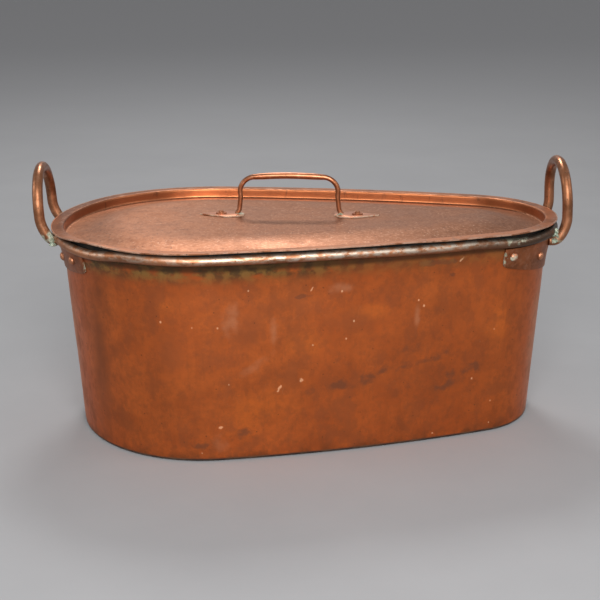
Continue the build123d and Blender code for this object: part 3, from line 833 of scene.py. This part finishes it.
# %% Draw the profile of the wall
RIM_HEIGHT, BEAD, SHEET = 222, 5, 1.5
FOOT_INSET, FLARE_INSET, NECK_INSET = 23.7, 13.4, 6.5
FLARE_FROM, NECK_HEIGHT, BASE_RISE = 177, 218.5, 12
ROW_HEIGHT, ROWS = 4.6, 44
ROLL_FROM, ROLL_STEP, ROLL_STEPS, ROLL_END = -98, 11.5, 28, 3.1
wall_lean = atan2(FOOT_INSET - FLARE_INSET, FLARE_FROM)
flare_chord = hypot(FLARE_INSET - NECK_INSET, NECK_HEIGHT - FLARE_FROM)
flare_turn = atan2(FLARE_INSET - NECK_INSET, NECK_HEIGHT - FLARE_FROM) - wall_lean
flare_radius = flare_chord / (2 * sin(flare_turn))


def wall_inset(height):
    """Inset of the outer face of the wall at a height, and how far it leans out there."""
    if height <= FLARE_FROM:
        return FOOT_INSET - height * tan(wall_lean), wall_lean
    leaning = asin((height - FLARE_FROM) / flare_radius + sin(wall_lean))
    return FLARE_INSET - flare_radius * (cos(wall_lean) - cos(leaning)), leaning


heights = [BASE_RISE + ROW_HEIGHT * row for row in range(ROWS)] + [213, 215.5, 217.2]
outer = [(wall_inset(height)[0], height) for height in heights]
inner = []
for height in heights:
    inset, leaning = wall_inset(height)
    inner.append((inset + SHEET * cos(leaning), height + SHEET * sin(leaning)))
inner[0] = (wall_inset(BASE_RISE)[0] + SHEET, BASE_RISE)
crease = [(6.95, 218.3), (6.2, 218.4)]
bead = []
for step in range(ROLL_STEPS):
    turn = radians(ROLL_FROM + step * ROLL_STEP)
    bead.append((BEAD - BEAD * cos(turn), RIM_HEIGHT + BEAD * sin(turn)))
bead = [point for point in bead if point[0] < inner[-1][0] or point[1] > RIM_HEIGHT - ROLL_END]
print("wall profile:", len(outer) + len(crease) + len(bead) + len(inner), "points")

# %% Spin the wall and knock it about
DENTS = [((-12, -146, 182), 26, 0.5), ((150, -112, 193), 24, 0.5), ((-150, -152, 60), 34, 0.5),
         ((70, -125, 40), 36, 0.45), ((60, 140, 120), 40, 0.7), ((-120, 160, 150), 30, 0.5),
         ((160, 112, 70), 30, 0.5)]
FRONT_LIFT, LIFT_FALL = 4.7, 1.9
CREASE_HEIGHT, BEAD_MARGIN, SIDE_MARGIN = 216.5, 0.3, 0.2
RIM_SLOT, INSIDE_SLOT = 1, 2
strip_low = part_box("handle_plate_left")[0].z
strip_from = {-1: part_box("handle_plate_left")[1].x, 1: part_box("handle_plate_right")[0].x}


def beaten(place):
    """How far out the wall is pushed. It stays true at its foot, at the rim and behind the strips."""
    away = soft_step(place.z, 0.012, 0.045) * (1 - soft_step(place.z, 0.196, 0.212))
    past_left, past_right = place.x - strip_from[-1], strip_from[1] - place.x
    past_strip = min(soft_step(past_left, 0, 0.02), soft_step(past_right, 0, 0.02))
    away *= max(past_strip, soft_step(strip_low - place.z, 0, 0.015))
    push = 0.55 * waver(place, 0.110, 1) + 0.22 * waver(place, 0.045, 2) + 0.06 * waver(place, 0.018, 3)
    for spot, size, depth in DENTS:
        push -= depth * (1 - soft_step((place - Vector(spot) * MM).length, 0, size * MM))
    return push * away * MM


def lift_rim(mesh):
    """Lift the rim by some millimetres along the front, by less at the right, and by nothing at the ends."""
    for vert in mesh.verts:
        place = vert.co
        share = soft_step(place.x, -0.238, -0.185) * (1 - soft_step(place.x, 0.165, 0.235))
        share *= soft_step(-place.y, 0.02, 0.09) * soft_step(place.z, 0.10, 0.215)
        vert.co.z += (FRONT_LIFT - LIFT_FALL * soft_step(place.x, 0.02, 0.13)) * share * MM


mesh = bmesh.new()
profile = start_profile(mesh, outer + crease + bead + inner[::-1], closed=True)
carry_round(mesh, profile)
for vert in mesh.verts:
    across = vert.co - Vector((min(max(vert.co.x, wide_centre.x), narrow_centre.x), 0, vert.co.z))
    vert.co += across.normalized() * beaten(vert.co)
for face in mesh.faces:
    middle = face.calc_center_median()
    inside = inset_of(middle) / MM
    from_bead = hypot(inside - BEAD, middle.z / MM - RIM_HEIGHT)
    if middle.z > CREASE_HEIGHT * MM and from_bead < BEAD + BEAD_MARGIN:
        face.material_index = RIM_SLOT
    elif inside > wall_inset(middle.z / MM)[0] + SHEET / 2 + SIDE_MARGIN:
        face.material_index = INSIDE_SLOT
lift_rim(mesh)
finish_piece("kettle_wall", mesh, [wall_copper, rim_copper, tinned], "kettle", ["body_wall"])

# %% [markdown]
# The rim isn't level: along the front it stands up to five millimetres higher than at the ends, which lifts
# the lid there as well. The iron wire inside the rim follows it.

# %% Lay the wire in the rim
WIRE, WIRE_SIDES = 6.8, 12
turns = [2 * pi / WIRE_SIDES * side for side in range(WIRE_SIDES)]
wire = [(BEAD + WIRE / 2 * cos(turn), RIM_HEIGHT + WIRE / 2 * sin(turn)) for turn in turns]
mesh = bmesh.new()
carry_round(mesh, start_profile(mesh, wire, closed=True), 2 * ROW_WIDTH)
lift_rim(mesh)
finish_piece("wire_in_rim", mesh, [iron], "kettle", ["rim_wire"])

# %% [markdown]
# ## The bottom
# The bottom is a shallow tray with a small rounded corner, brazed to the wall. Its flat middle is drawn as
# rings that shrink to a point, which gives it enough faces to sag a little between its worn edge and middle.

# %% Make the bottom
def next_ring(mesh, loop):
    """Extrude a loop of edges where it stands, and give back its new points and its new edges."""
    made = bmesh.ops.extrude_edge_only(mesh, edges=loop)["geom"]
    ring = [item for item in made if isinstance(item, bmesh.types.BMVert)]
    edges = [item for item in made if isinstance(item, bmesh.types.BMEdge)]
    return ring, [edge for edge in edges if all(vert in ring for vert in edge.verts)]


def shrink_to(mesh, loop, middle, shares):
    """Extrude a loop of edges inwards in rings, each a share of the first, and close it at the middle."""
    before = 1.0
    for share in shares:
        ring, loop = next_ring(mesh, loop)
        by = share / before
        bmesh.ops.scale(mesh, vec=(by, by, 1), space=Matrix.Translation(-middle), verts=ring)
        before = share
    bmesh.ops.holes_fill(mesh, edges=loop, sides=0)
    last = [face for face in mesh.faces if len(face.verts) > 4]
    bmesh.ops.poke(mesh, faces=last)


def open_loop(mesh, inset, height):
    """The open edges that lie at an inset and a height, in millimetres."""
    found = []
    for edge in mesh.edges:
        middle = (edge.verts[0].co + edge.verts[1].co) / 2
        at_inset = abs(inset_of(middle) / MM - inset) < LOOP_REACH
        if edge.is_boundary and at_inset and abs(middle.z / MM - height) < 1:
            found.append(edge)
    return found


def give_sheet(piece, thickness, slots_on):
    """Thicken a piece inwards. Its inner face takes the finish that is so many slots further on."""
    sheet = piece.modifiers.new("sheet", "SOLIDIFY")
    sheet.thickness = thickness * MM
    sheet.offset = -1
    sheet.material_offset = slots_on


LOOP_REACH = 0.6
BASE_SHEET, BASE_CORNER, CORNER_STEPS = 1.8, 4.5, 8
SAG = 0.35
corner_turn = pi / 2 - wall_lean
corner_run = BASE_CORNER * tan(corner_turn / 2)
corner_centre = FOOT_INSET + corner_run
tray = [(FOOT_INSET - height * tan(wall_lean), height) for height in (12, 11.85, 9.5, 7.2)]
for step in range(CORNER_STEPS + 1):
    turn = wall_lean + step / CORNER_STEPS * corner_turn
    tray.append((corner_centre - BASE_CORNER * cos(turn), BASE_CORNER - BASE_CORNER * sin(turn)))
tray += [(corner_centre + 4, 0), (corner_centre + 9, 0)]
mesh = bmesh.new()
carry_round(mesh, start_profile(mesh, tray))
middle = Vector((-20, 0, 0)) * MM
shares = [0.93, 0.86, 0.78, 0.7, 0.6, 0.5, 0.4, 0.3, 0.2, 0.1]
shrink_to(mesh, open_loop(mesh, *tray[-1]), middle, shares)
bmesh.ops.recalc_face_normals(mesh, faces=mesh.faces)
if sum(face.normal.z for face in mesh.faces) > 0:
    bmesh.ops.reverse_faces(mesh, faces=mesh.faces)
for vert in mesh.verts:
    inside = inset_of(vert.co)
    sag = soft_step(inside, 0.040, 0.075)
    vert.co.z += sag * SAG * (1 + waver(vert.co, 0.07, 4)) * MM
base = finish_piece("kettle_base", mesh, [wall_copper, tinned], "kettle", ["base_plate"])
give_sheet(base, BASE_SHEET, 1)

# %% [markdown]
# ## The lid
# The lid is one sheet too: a flange that rests on the rim, a short wall down into the mouth and a sunk panel
# that rises softly to a low crown. Only the upper face is drawn; Solidify gives the sheet its thickness, a
# tinned underside under the panel and painted shade under the flange and its short wall. It is drawn level
# and set down with its front a little high, as it lies in the photo.

# %% Draw the lid
LID_SHEET, OVERHANG, PANEL_EDGE, RECESS, CORNER, CROWN_RISE, CROWN_RUN = 1.3, 0.6, 13.3, 11, 2, 9, 66
LID_GAP, LID_LEFT, LID_BACK = 0.3, 1.0, 1.4
lid_tilt = radians(1.13)
front_rest = wide_radius - (BEAD + LID_BACK) * MM
lid_top = (RIM_HEIGHT + BEAD + LID_GAP + LID_SHEET) * MM + tan(lid_tilt) * front_rest
lid_shift = Vector((-LID_LEFT * MM, LID_BACK * MM, lid_top))
lid_place = Matrix.Translation(lid_shift) @ Matrix.Rotation(-lid_tilt, 4, "X")


def rounded(start, corner, end, radius, steps):
    """Points along an arc that rounds the corner between two lines that are square to each other."""
    first, last = (start - corner).normalized(), (end - corner).normalized()
    centre = corner + (first + last) * radius
    points = []
    for step in range(steps + 1):
        turn = step / steps * pi / 2
        points.append(tuple(centre - last * radius * cos(turn) - first * radius * sin(turn)))
    return points


upper = [(-OVERHANG, 0), (-OVERHANG + 1.2, 0), (2.5, 0), (5.5, 0), (8.5, 0)]
upper += rounded(Vector((0, 0)), Vector((PANEL_EDGE, 0)), Vector((PANEL_EDGE, -9)), CORNER, 5)
upper += [(PANEL_EDGE, -4.5), (PANEL_EDGE, -7)]
upper += rounded(Vector((PANEL_EDGE, 0)), Vector((PANEL_EDGE, -RECESS)), Vector((30, -RECESS)), CORNER, 5)
panel_from = PANEL_EDGE + 2 * CORNER
upper += [(PANEL_EDGE + CORNER + 2, -RECESS), (22, -RECESS), (27, -RECESS)]
mesh = bmesh.new()
carry_round(mesh, start_profile(mesh, upper))
shares = [1 - 0.045 * ring for ring in range(1, 22)]
shrink_to(mesh, open_loop(mesh, *upper[-1]), middle, shares)
bmesh.ops.recalc_face_normals(mesh, faces=mesh.faces)
print("lid:", len(mesh.faces), "faces, upright", sum(face.normal.z for face in mesh.faces) > 0)

# %% [markdown]
# The lid has been dropped in its time: the flange is bent up at the front left, and the whole left end sinks
# towards the rim.

# %% Raise the crown and wrinkle the flange
BENT_CORNER, BENT_REACH, BENT_UP = Vector((-222, -118, 0)) * MM, 65 * MM, 3.0
MIDDLE_LIFT, END_SINK = 1.3, 2.9
FLANGE_SLOT, RECESS_SLOT, EDGE_SLOT, UNDER_SLOTS = 1, 2, 3, 4
for vert in mesh.verts:
    inside = inset_of(vert.co) / MM
    share = min(max((inside - panel_from) / (CROWN_RUN - CORNER), 0), 1)
    rise = 2 * share**2 if share < 0.5 else 1 - 2 * (1 - share) ** 2
    vert.co.z += CROWN_RISE * rise * MM
    if inside > panel_from:
        calm = soft_step(inside, panel_from, 40)
        vert.co.z += calm * (0.35 * waver(vert.co, 0.090, 5) + 0.10 * waver(vert.co, 0.030, 6)) * MM
    else:
        flat = 1 - soft_step(inside, 4, PANEL_EDGE)
        front = soft_step(-vert.co.y, -0.05, 0.08)
        in_middle = 1 - soft_step(abs(vert.co.x), 0.05, 0.17)
        vert.co.z += flat * front * (0.8 * waver(vert.co, 0.060, 7) + MIDDLE_LIFT * in_middle) * MM
        curl = 1 - soft_step((vert.co - BENT_CORNER).length, 0, BENT_REACH)
        vert.co.z += flat * curl * BENT_UP * MM
for face in mesh.faces:
    face_inset = inset_of(face.calc_center_median()) / MM
    if face_inset < 0.3:
        face.material_index = EDGE_SLOT
    elif face_inset < PANEL_EDGE - 0.6:
        face.material_index = FLANGE_SLOT
    elif face_inset < PANEL_EDGE + 0.5:
        face.material_index = RECESS_SLOT
bmesh.ops.transform(mesh, matrix=lid_place, verts=mesh.verts)
for vert in mesh.verts:
    room = tan(lid_tilt) * (front_rest - vert.co.y)
    vert.co.z -= soft_step(-vert.co.x, 0.205, 0.285) * min(0.9 * room, END_SINK * MM)
# The flange, the short wall and the edge have the painted shade on their undersides.
lid_finishes = [lid_copper, flange_copper, recess_copper, edge_highlight_copper, tinned, painted_gap_shade, painted_gap_shade, painted_gap_shade]
lid = finish_piece("kettle_lid", mesh, lid_finishes, "lid", ["lid_pan"])
give_sheet(lid, LID_SHEET, UNDER_SLOTS)

# %% [markdown]
# ## Rods
# The loops and the bail are forged rods. A rod is walked like a path: each move has a length, a turn, a
# heading for the turn and a number of steps. At each step the ring of edges is extruded and carried along,
# so its thickness can change too. A little noise at the end keeps it from looking machined.

# %% Define the forging of a rod
def forge(place, moves, thickness, sides=20, rough=0.12):
    """Forge a round rod. Thickness is a function of the share of the way along, in millimetres."""
    stations = [place]
    for length, turn, heading, steps in moves:
        part = Matrix.Translation((0, 0, length / steps * MM))
        if turn:
            centre = Vector((cos(heading), sin(heading), 0)) * length / turn * MM
            axis = Vector((-sin(heading), cos(heading), 0))
            spun = Matrix.Rotation(turn / steps, 4, axis)
            part = Matrix.Translation(centre) @ spun @ Matrix.Translation(-centre)
        for _ in range(steps):
            stations.append(stations[-1] @ part)
    last = len(stations) - 1
    rings = [at @ Matrix.Scale(thickness(index / last) / 2 * MM, 4) for index, at in enumerate(stations)]
    mesh = bmesh.new()
    bmesh.ops.create_circle(mesh, cap_ends=True, segments=sides, radius=1, matrix=rings[0])
    loop = mesh.edges[:]
    for before, after in zip(rings, rings[1:]):
        ring, loop = next_ring(mesh, loop)
        bmesh.ops.transform(mesh, matrix=after @ before.inverted(), verts=ring)
    bmesh.ops.contextual_create(mesh, geom=loop)
    bmesh.ops.recalc_face_normals(mesh, faces=mesh.faces)
    mesh.normal_update()
    for vert in mesh.verts:
        uneven = waver(vert.co, 0.014, 8) + 0.5 * waver(vert.co, 0.006, 9) - 0.9
        vert.co += vert.normal * rough * uneven * MM
    print("rod ends at", [round(value / MM, 1) for value in stations[-1].translation])
    return mesh


# %% [markdown]
# ## The end loops
# Each loop is one round arch on two legs. Below the rim a leg bends in twice, and its foot is tucked under
# the bead and brazed to the strip. The foot was filed to sit there: where it would run into the bead it is
# pushed back until it just clears it.

# %% Forge the end loops
ROD, LOOP_WIDTH, LOOP_CORNER, FOOT_BEND, HEEL_BEND = 11.5, 86, 42, 38, 9.5
FOOT_LEAN, FOOT_RUN, FOOT_TUCK, BEAD_CLEAR, BELOW_BEAD, FOOT_THINNER = radians(35), 18.5, 2.4, 5.3, 0.7, 0.5
half_loop = LOOP_WIDTH / 2


def rod_thickness(share):
    """Full along the arch, a little thinner at the feet."""
    return ROD - FOOT_THINNER * (1 - soft_step(min(share, 1 - share), 0.03, 0.2))


LOOPS = {
    "left": {"centre": wide_centre, "radius": wide_radius, "sign": -1,
             "stand": 12.8, "rise": 67.8, "lean": 3, "drop": 3.8},
    "right": {"centre": narrow_centre, "radius": narrow_radius, "sign": 1,
              "stand": 11.9, "rise": 68.8, "lean": -3, "drop": 11.2},
}


def tuck(point):
    """Push a point of a foot out of the space round the bead: outward beside it, down below it."""
    inset, height = inset_of(point) / MM - BEAD, point.z / MM - RIM_HEIGHT
    if hypot(inset, height) > BEAD_CLEAR:
        return point
    if height < -BELOW_BEAD * BEAD_CLEAR:
        return Vector((point.x, point.y, (RIM_HEIGHT - sqrt(BEAD_CLEAR**2 - inset**2)) * MM))
    out = Vector((copysign(1, point.x), 0, 0))
    return point + out * (inset + sqrt(BEAD_CLEAR**2 - height**2)) * MM


for side, loop in LOOPS.items():
    sign, across = loop["sign"], loop["centre"].x / MM
    knee_x = across + sign * (sqrt((loop["radius"] / MM) ** 2 - half_loop**2) + loop["stand"])
    foot_x = across + sign * (sqrt((loop["radius"] / MM - BEAD) ** 2 - half_loop**2) - FOOT_TUCK)
    rise = loop["rise"] + loop["drop"] - FOOT_RUN * cos(FOOT_LEAN)
    lean = atan2(loop["lean"], rise)
    heel_turn, knee_turn = pi / 2 - FOOT_LEAN, FOOT_LEAN - lean
    heel_side, knee_side = HEEL_BEND * tan(heel_turn / 2), FOOT_BEND * tan(knee_turn / 2)
    inward = pi if sign > 0 else 0
    half_way = [
        (abs(knee_x - foot_x) - FOOT_RUN * sin(FOOT_LEAN) - heel_side, 0, 0, 10),
        (HEEL_BEND * heel_turn, heel_turn, inward, 10),
        (FOOT_RUN - heel_side - knee_side, 0, 0, 2),
        (FOOT_BEND * knee_turn, knee_turn, inward, 12),
        (hypot(loop["lean"], rise) - knee_side - LOOP_CORNER, 0, 0, 8),
        (LOOP_CORNER * pi / 2, pi / 2, pi / 2, 26),
    ]
    moves = half_way + [(LOOP_WIDTH - 2 * LOOP_CORNER, 0, 0, 2)] + half_way[::-1]
    foot = Vector((foot_x, -half_loop, RIM_HEIGHT - loop["drop"])) * MM
    place = Matrix.Translation(foot) @ Matrix.Rotation(sign * pi / 2, 4, "Y")
    mesh = forge(place, moves, rod_thickness)
    for vert in mesh.verts:
        vert.co = tuck(vert.co)
    finish_piece(f"end_loop_{side}", mesh, [rod_copper], "kettle", [f"handle_{side}"])

# %% [markdown]
# Green crust has grown in the crooks between the feet and the rim, and in the corners where the strips end.
# It is a few small lumps, each a ball that noise has eaten into.

# %% Grow the crust
CRUSTS = [((-280, -44, 221), (4.5, 5, 6)), ((-276, -47, 215), (5, 5, 3)), ((-280, 44, 221), (4.5, 5, 5)),
          ((271, -45, 220), (5, 5, 6.5)), ((270, -47, 212), (5, 4, 4)), ((273, 45, 219), (4.5, 5, 5))]
mesh = bmesh.new()
for number, (spot, size) in enumerate(CRUSTS):
    lump = bmesh.ops.create_icosphere(mesh, subdivisions=4, radius=1)["verts"]
    for vert in lump:
        eaten = 0.75 + 0.30 * waver(vert.co, 0.55, number) + 0.18 * waver(vert.co, 0.22, 40 + number)
        grown = Vector([part * reach for part, reach in zip(vert.co, size)]) * eaten
        vert.co = (Vector(spot) + grown) * MM
finish_piece("verdigris_crusts", mesh, [crust], "kettle", [])

# %% [markdown]
# ## Strips and feet
# The strips and the leaf-shaped feet are cut from plate, and the CAD already has their exact outlines and
# rivet holes. Their edges are far too sharp, though. A copy of each mesh is merged, its flat triangles are
# joined, and its sharp edges are bevelled a little, as a file would.

# %% Soften the plate pieces
def softened(node_name, width):
    """Copy a CAD node's mesh, merge it and round its sharp edges by some millimetres."""
    mesh = bmesh.new()
    mesh.from_mesh(nodes[node_name].data)
    bmesh.ops.remove_doubles(mesh, verts=mesh.verts, dist=0.004 * MM)
    bmesh.ops.dissolve_limit(mesh, angle_limit=radians(2), verts=mesh.verts, edges=mesh.edges)
    shared = [edge for edge in mesh.edges if len(edge.link_faces) == 2]
    sharp = [edge for edge in shared if edge.calc_face_angle() > radians(40)]
    bmesh.ops.bevel(mesh, geom=sharp, offset=width * MM, segments=2, profile=0.5,
                    affect="EDGES", material=-1, clamp_overlap=True)
    bmesh.ops.triangulate(mesh, faces=[face for face in mesh.faces if len(face.verts) > 4])
    return mesh


for side in ("left", "right"):
    mesh = softened(f"handle_plate_{side}", 0.5)
    finish_piece(f"strip_{side}", mesh, [strip_copper], "kettle", [f"handle_plate_{side}"])
    mesh = softened(f"lid_foot_{side}", 0.45)
    # Faces that stand upright, the edges of a leaf, take the painted highlight.
    for face in mesh.faces:
        face.material_index = int(abs(face.normal.z) < 0.85)
    leaf_finishes = [leaf_copper, lime_and_highlight_edge]
    finish_piece(f"bail_leaf_{side}", mesh, leaf_finishes, "lid", [f"lid_foot_{side}"])

# %% [markdown]
# ## Rivets
# A rivet is a turned shape: a dome, a shank through the plates and a hammered end inside the wall. Its half
# profile is a few points, spun once round. The domes aren't quite round, because each was closed by hand.

# %% Set the rivets of the strips
RIVET_HEAD, HEAD_HEIGHT, SHANK, BURR, BURR_HEIGHT = 9.5, 3.2, 4.5, 8, 1.2
STRIP_STAND, SEAT_GAP, SEAM = 1.7, 0.12, 0.005
RIVETS = {"left": ((15.5, 21.5), (30.5, 15.3)), "right": ((36.7, 23.6), (64.4, 15.6))}


def turned_shape(mesh, place, points, seed, uneven=0.03, segments=28):
    """Spin a half profile of radius and height, in millimetres, about a place's Z axis."""
    before = set(mesh.verts)
    made = [mesh.verts.new((radius * MM, 0, height * MM)) for radius, height in points]
    edges = [mesh.edges.new(pair) for pair in zip(made, made[1:])]
    bmesh.ops.spin(mesh, geom=made + edges, cent=(0, 0, 0), axis=up, dvec=(0, 0, 0), angle=2 * pi,
                   steps=segments, use_merge=True)
    shape = [vert for vert in mesh.verts if vert not in before]
    for vert in shape:
        vert.co.xy *= 1 + uneven * waver(vert.co, 0.004, seed)
    bmesh.ops.transform(mesh, matrix=place, verts=shape)
    return shape


def dome(radius, height, base, steps=7):
    """The half profile of a rivet's dome."""
    turns = [step / steps * pi / 2 for step in range(steps + 1)]
    return [(radius * sin(turn), base + height * cos(turn)) for turn in turns]


inner_face = -STRIP_STAND - SHEET - SEAT_GAP
rivet_profile = dome(RIVET_HEAD / 2, HEAD_HEIGHT, SEAT_GAP) + [
    (SHANK / 2, SEAT_GAP), (SHANK / 2, inner_face), (BURR / 2, inner_face),
    (BURR / 2 - 0.4, inner_face - BURR_HEIGHT), (0, inner_face - BURR_HEIGHT)]
rivets_set = 0
for side, loop in LOOPS.items():
    mesh = bmesh.new()
    for angle, drop in [(way * turn, drop) for turn, drop in RIVETS[side] for way in (-1, 1)]:
        facing = radians(angle) if loop["sign"] > 0 else pi + radians(angle)
        inset, leaning = wall_inset(RIM_HEIGHT - drop)
        out = Vector((cos(facing), sin(facing), 0))
        square = out * cos(leaning) - up * sin(leaning)
        on_wall = loop["centre"] + out * (loop["radius"] - inset * MM)
        foot = on_wall + (up * (RIM_HEIGHT - drop) + square * STRIP_STAND) * MM
        place = Matrix.Translation(foot) @ square.to_track_quat("Z", "Y").to_matrix().to_4x4()
        rivets_set += 1
        turned_shape(mesh, place, rivet_profile, rivets_set)
    closed_up(mesh, SEAM)
    finish_piece(
        f"strip_rivets_{side}", mesh, [rivet_copper], "kettle", [f"handle_rivets_{side}"])

# %% [markdown]
# ## The bail
# The bail of the lid is a rod that swells in the middle, where the hand goes. Its legs end on the narrow
# heels of the leaves. Pulling on it has drawn it out of square: the grip is arched and the legs splay.

# %% Forge the bail
BAIL_SPAN, BAIL_GRIP, BAIL_LEG, BAIL_RISE, BAIL_CORNER = 109, 7.4, 5.6, 43.5, 20
LEAF, FOOT_TURN, FOOT_RADIUS, LET_IN = 2, radians(50), 9, 0.6
HALF_GRIP, SPLAY, ARCH = 34.5, 2.6, 1.5
BAIL_AT, BAIL_TURN = Vector((-18, 9, -2)) * MM, radians(-5)
bail_place = lid_place @ Matrix.Translation(BAIL_AT) @ Matrix.Rotation(BAIL_TURN, 4, "Z")


def bail_thickness(share):
    """Thin at the legs and the corners, full along the grip."""
    return BAIL_LEG + (BAIL_GRIP - BAIL_LEG) * soft_step(min(share, 1 - share), 0.30, 0.40)


foot_bottom = LEAF - LET_IN
run_up = LEAF + BAIL_RISE - BAIL_CORNER - foot_bottom - FOOT_RADIUS * sin(FOOT_TURN)
foot_at = Vector((-BAIL_SPAN / 2 - FOOT_RADIUS * (1 - cos(FOOT_TURN)), 0, foot_bottom)) * MM
half_way = [
    (FOOT_RADIUS * FOOT_TURN, FOOT_TURN, pi, 7),
    (run_up, 0, 0, 8),
    (BAIL_CORNER * pi / 2, pi / 2, 0, 14),
]
moves = half_way + [(BAIL_SPAN - 2 * BAIL_CORNER, 0, 0, 24)] + half_way[::-1]
place = bail_place @ Matrix.Translation(foot_at) @ Matrix.Rotation(FOOT_TURN, 4, "Y")
mesh = forge(place, moves, bail_thickness, rough=0.10)
for vert in mesh.verts:
    at = bail_place.inverted() @ vert.co
    outward = min(abs(at.x) / (HALF_GRIP * MM), 1)
    at.x += copysign(outward * SPLAY * (1 - 2 * at.z / (BAIL_RISE * MM)), at.x) * MM
    at.z -= ARCH * outward**2 * soft_step(at.z, 0.020, 0.042) * MM
    vert.co = bail_place @ at
finish_piece("lid_bail", mesh, [bail_copper], "lid", ["lid_handle"])

# %% [markdown]
# The two rivets of the leaves were closed from above over a flat washer, so instead of a smooth dome they end
# in a low burr with two bright points.

# %% Set the rivets of the lid
LEAF_RIVET, WASHER, WASHER_THICK, WASHER_BORE = 22.5, 12.4, 1.0, 4.2
LID_SHANK, LID_BURR, BURR_RISE, TAIL, TAIL_THICK, POINTS_RISE = 4, 6, 2.4, 9, 1.3, 1.1
bore, rim = WASHER_BORE / 2, WASHER / 2
washer_profile = [(bore, 0), (bore, WASHER_THICK), (rim - 0.4, WASHER_THICK)]
washer_profile += [(rim, WASHER_THICK - 0.35), (rim, 0), (bore, 0)]
under = -LEAF - LID_SHEET
head = dome(LID_BURR / 2, BURR_RISE, WASHER_THICK) + [
    (LID_SHANK / 2, WASHER_THICK), (LID_SHANK / 2, under), (TAIL / 2, under),
    (TAIL / 2 - 0.5, under - TAIL_THICK), (0, under - TAIL_THICK)]
washers, rivets = bmesh.new(), bmesh.new()
for number, way in enumerate((-1, 1)):
    place = bail_place @ Matrix.Translation(Vector((way * (BAIL_SPAN / 2 + LEAF_RIVET), 0, LEAF)) * MM)
    turned_shape(washers, place, washer_profile, 20 + number, 0.02)
    made = turned_shape(rivets, Matrix.Identity(4), head, 30 + number, 0.10)
    for vert in made:
        if vert.co.z > (WASHER_THICK + 0.8) * MM:
            points = cos(atan2(vert.co.y, vert.co.x)) ** 2 * min(vert.co.xy.length / (1.6 * MM), 1)
            vert.co.z += POINTS_RISE * (points - 0.5) * MM
    bmesh.ops.transform(rivets, matrix=place, verts=made)
for mesh in (washers, rivets):
    closed_up(mesh, SEAM)
finish_piece("lid_washers", washers, [strip_copper], "lid", ["lid_roves"])
finish_piece("lid_burr_rivets", rivets, [bail_copper], "lid", ["lid_rivets"])

# %% [markdown]
# ## The drainer
# The drainer lies inside the kettle and shows only when the lid is lifted. Its CAD pieces have their real
# shape, so they stay, and only get the wiped tin.

# %% Finish the drainer
DRAINER = ["drainer_plate", "drainer_handle_left", "drainer_handle_right", "drainer_rivets", "drainer_feet"]
for name in DRAINER:
    data = nodes[name].data
    data.materials.clear()
    data.materials.append(tinned)
    print(name, "gets", tinned.name)

# %% [markdown]
# ## The floor
# The floor is one large plain sheet of pale grey paper, a little cloudy and a little paler far behind. From
# this height it fills the whole picture.

# %% Lay the floor
pale_floor, shader, place = start_finish("pale_floor")
cloudy = blotchy(place, 3, 0.2, 0.8)
far = ramp(along(place, "Y"), 0.6, 3.5)
paper = mixed(cloudy, (0.26, 0.26, 0.265, 1), (0.285, 0.285, 0.29, 1))
fill(shader, {
    "Base Color": mixed(far, paper, (0.40, 0.40, 0.41, 1)),
    "Roughness": 0.9,
})
shader.inputs["Specular IOR Level"].default_value = 0.1
mesh = bmesh.new()
bmesh.ops.create_grid(mesh, x_segments=2, y_segments=2, size=8)
data = bpy.data.meshes.new("floor")
mesh.to_mesh(data)
mesh.free()
data.materials.append(pale_floor)
floor = put("floor", data)

# %% [markdown]
# ## Update the scene
# The view layer is brought up to date.

# %% Update the view layer
bpy.context.view_layer.update()
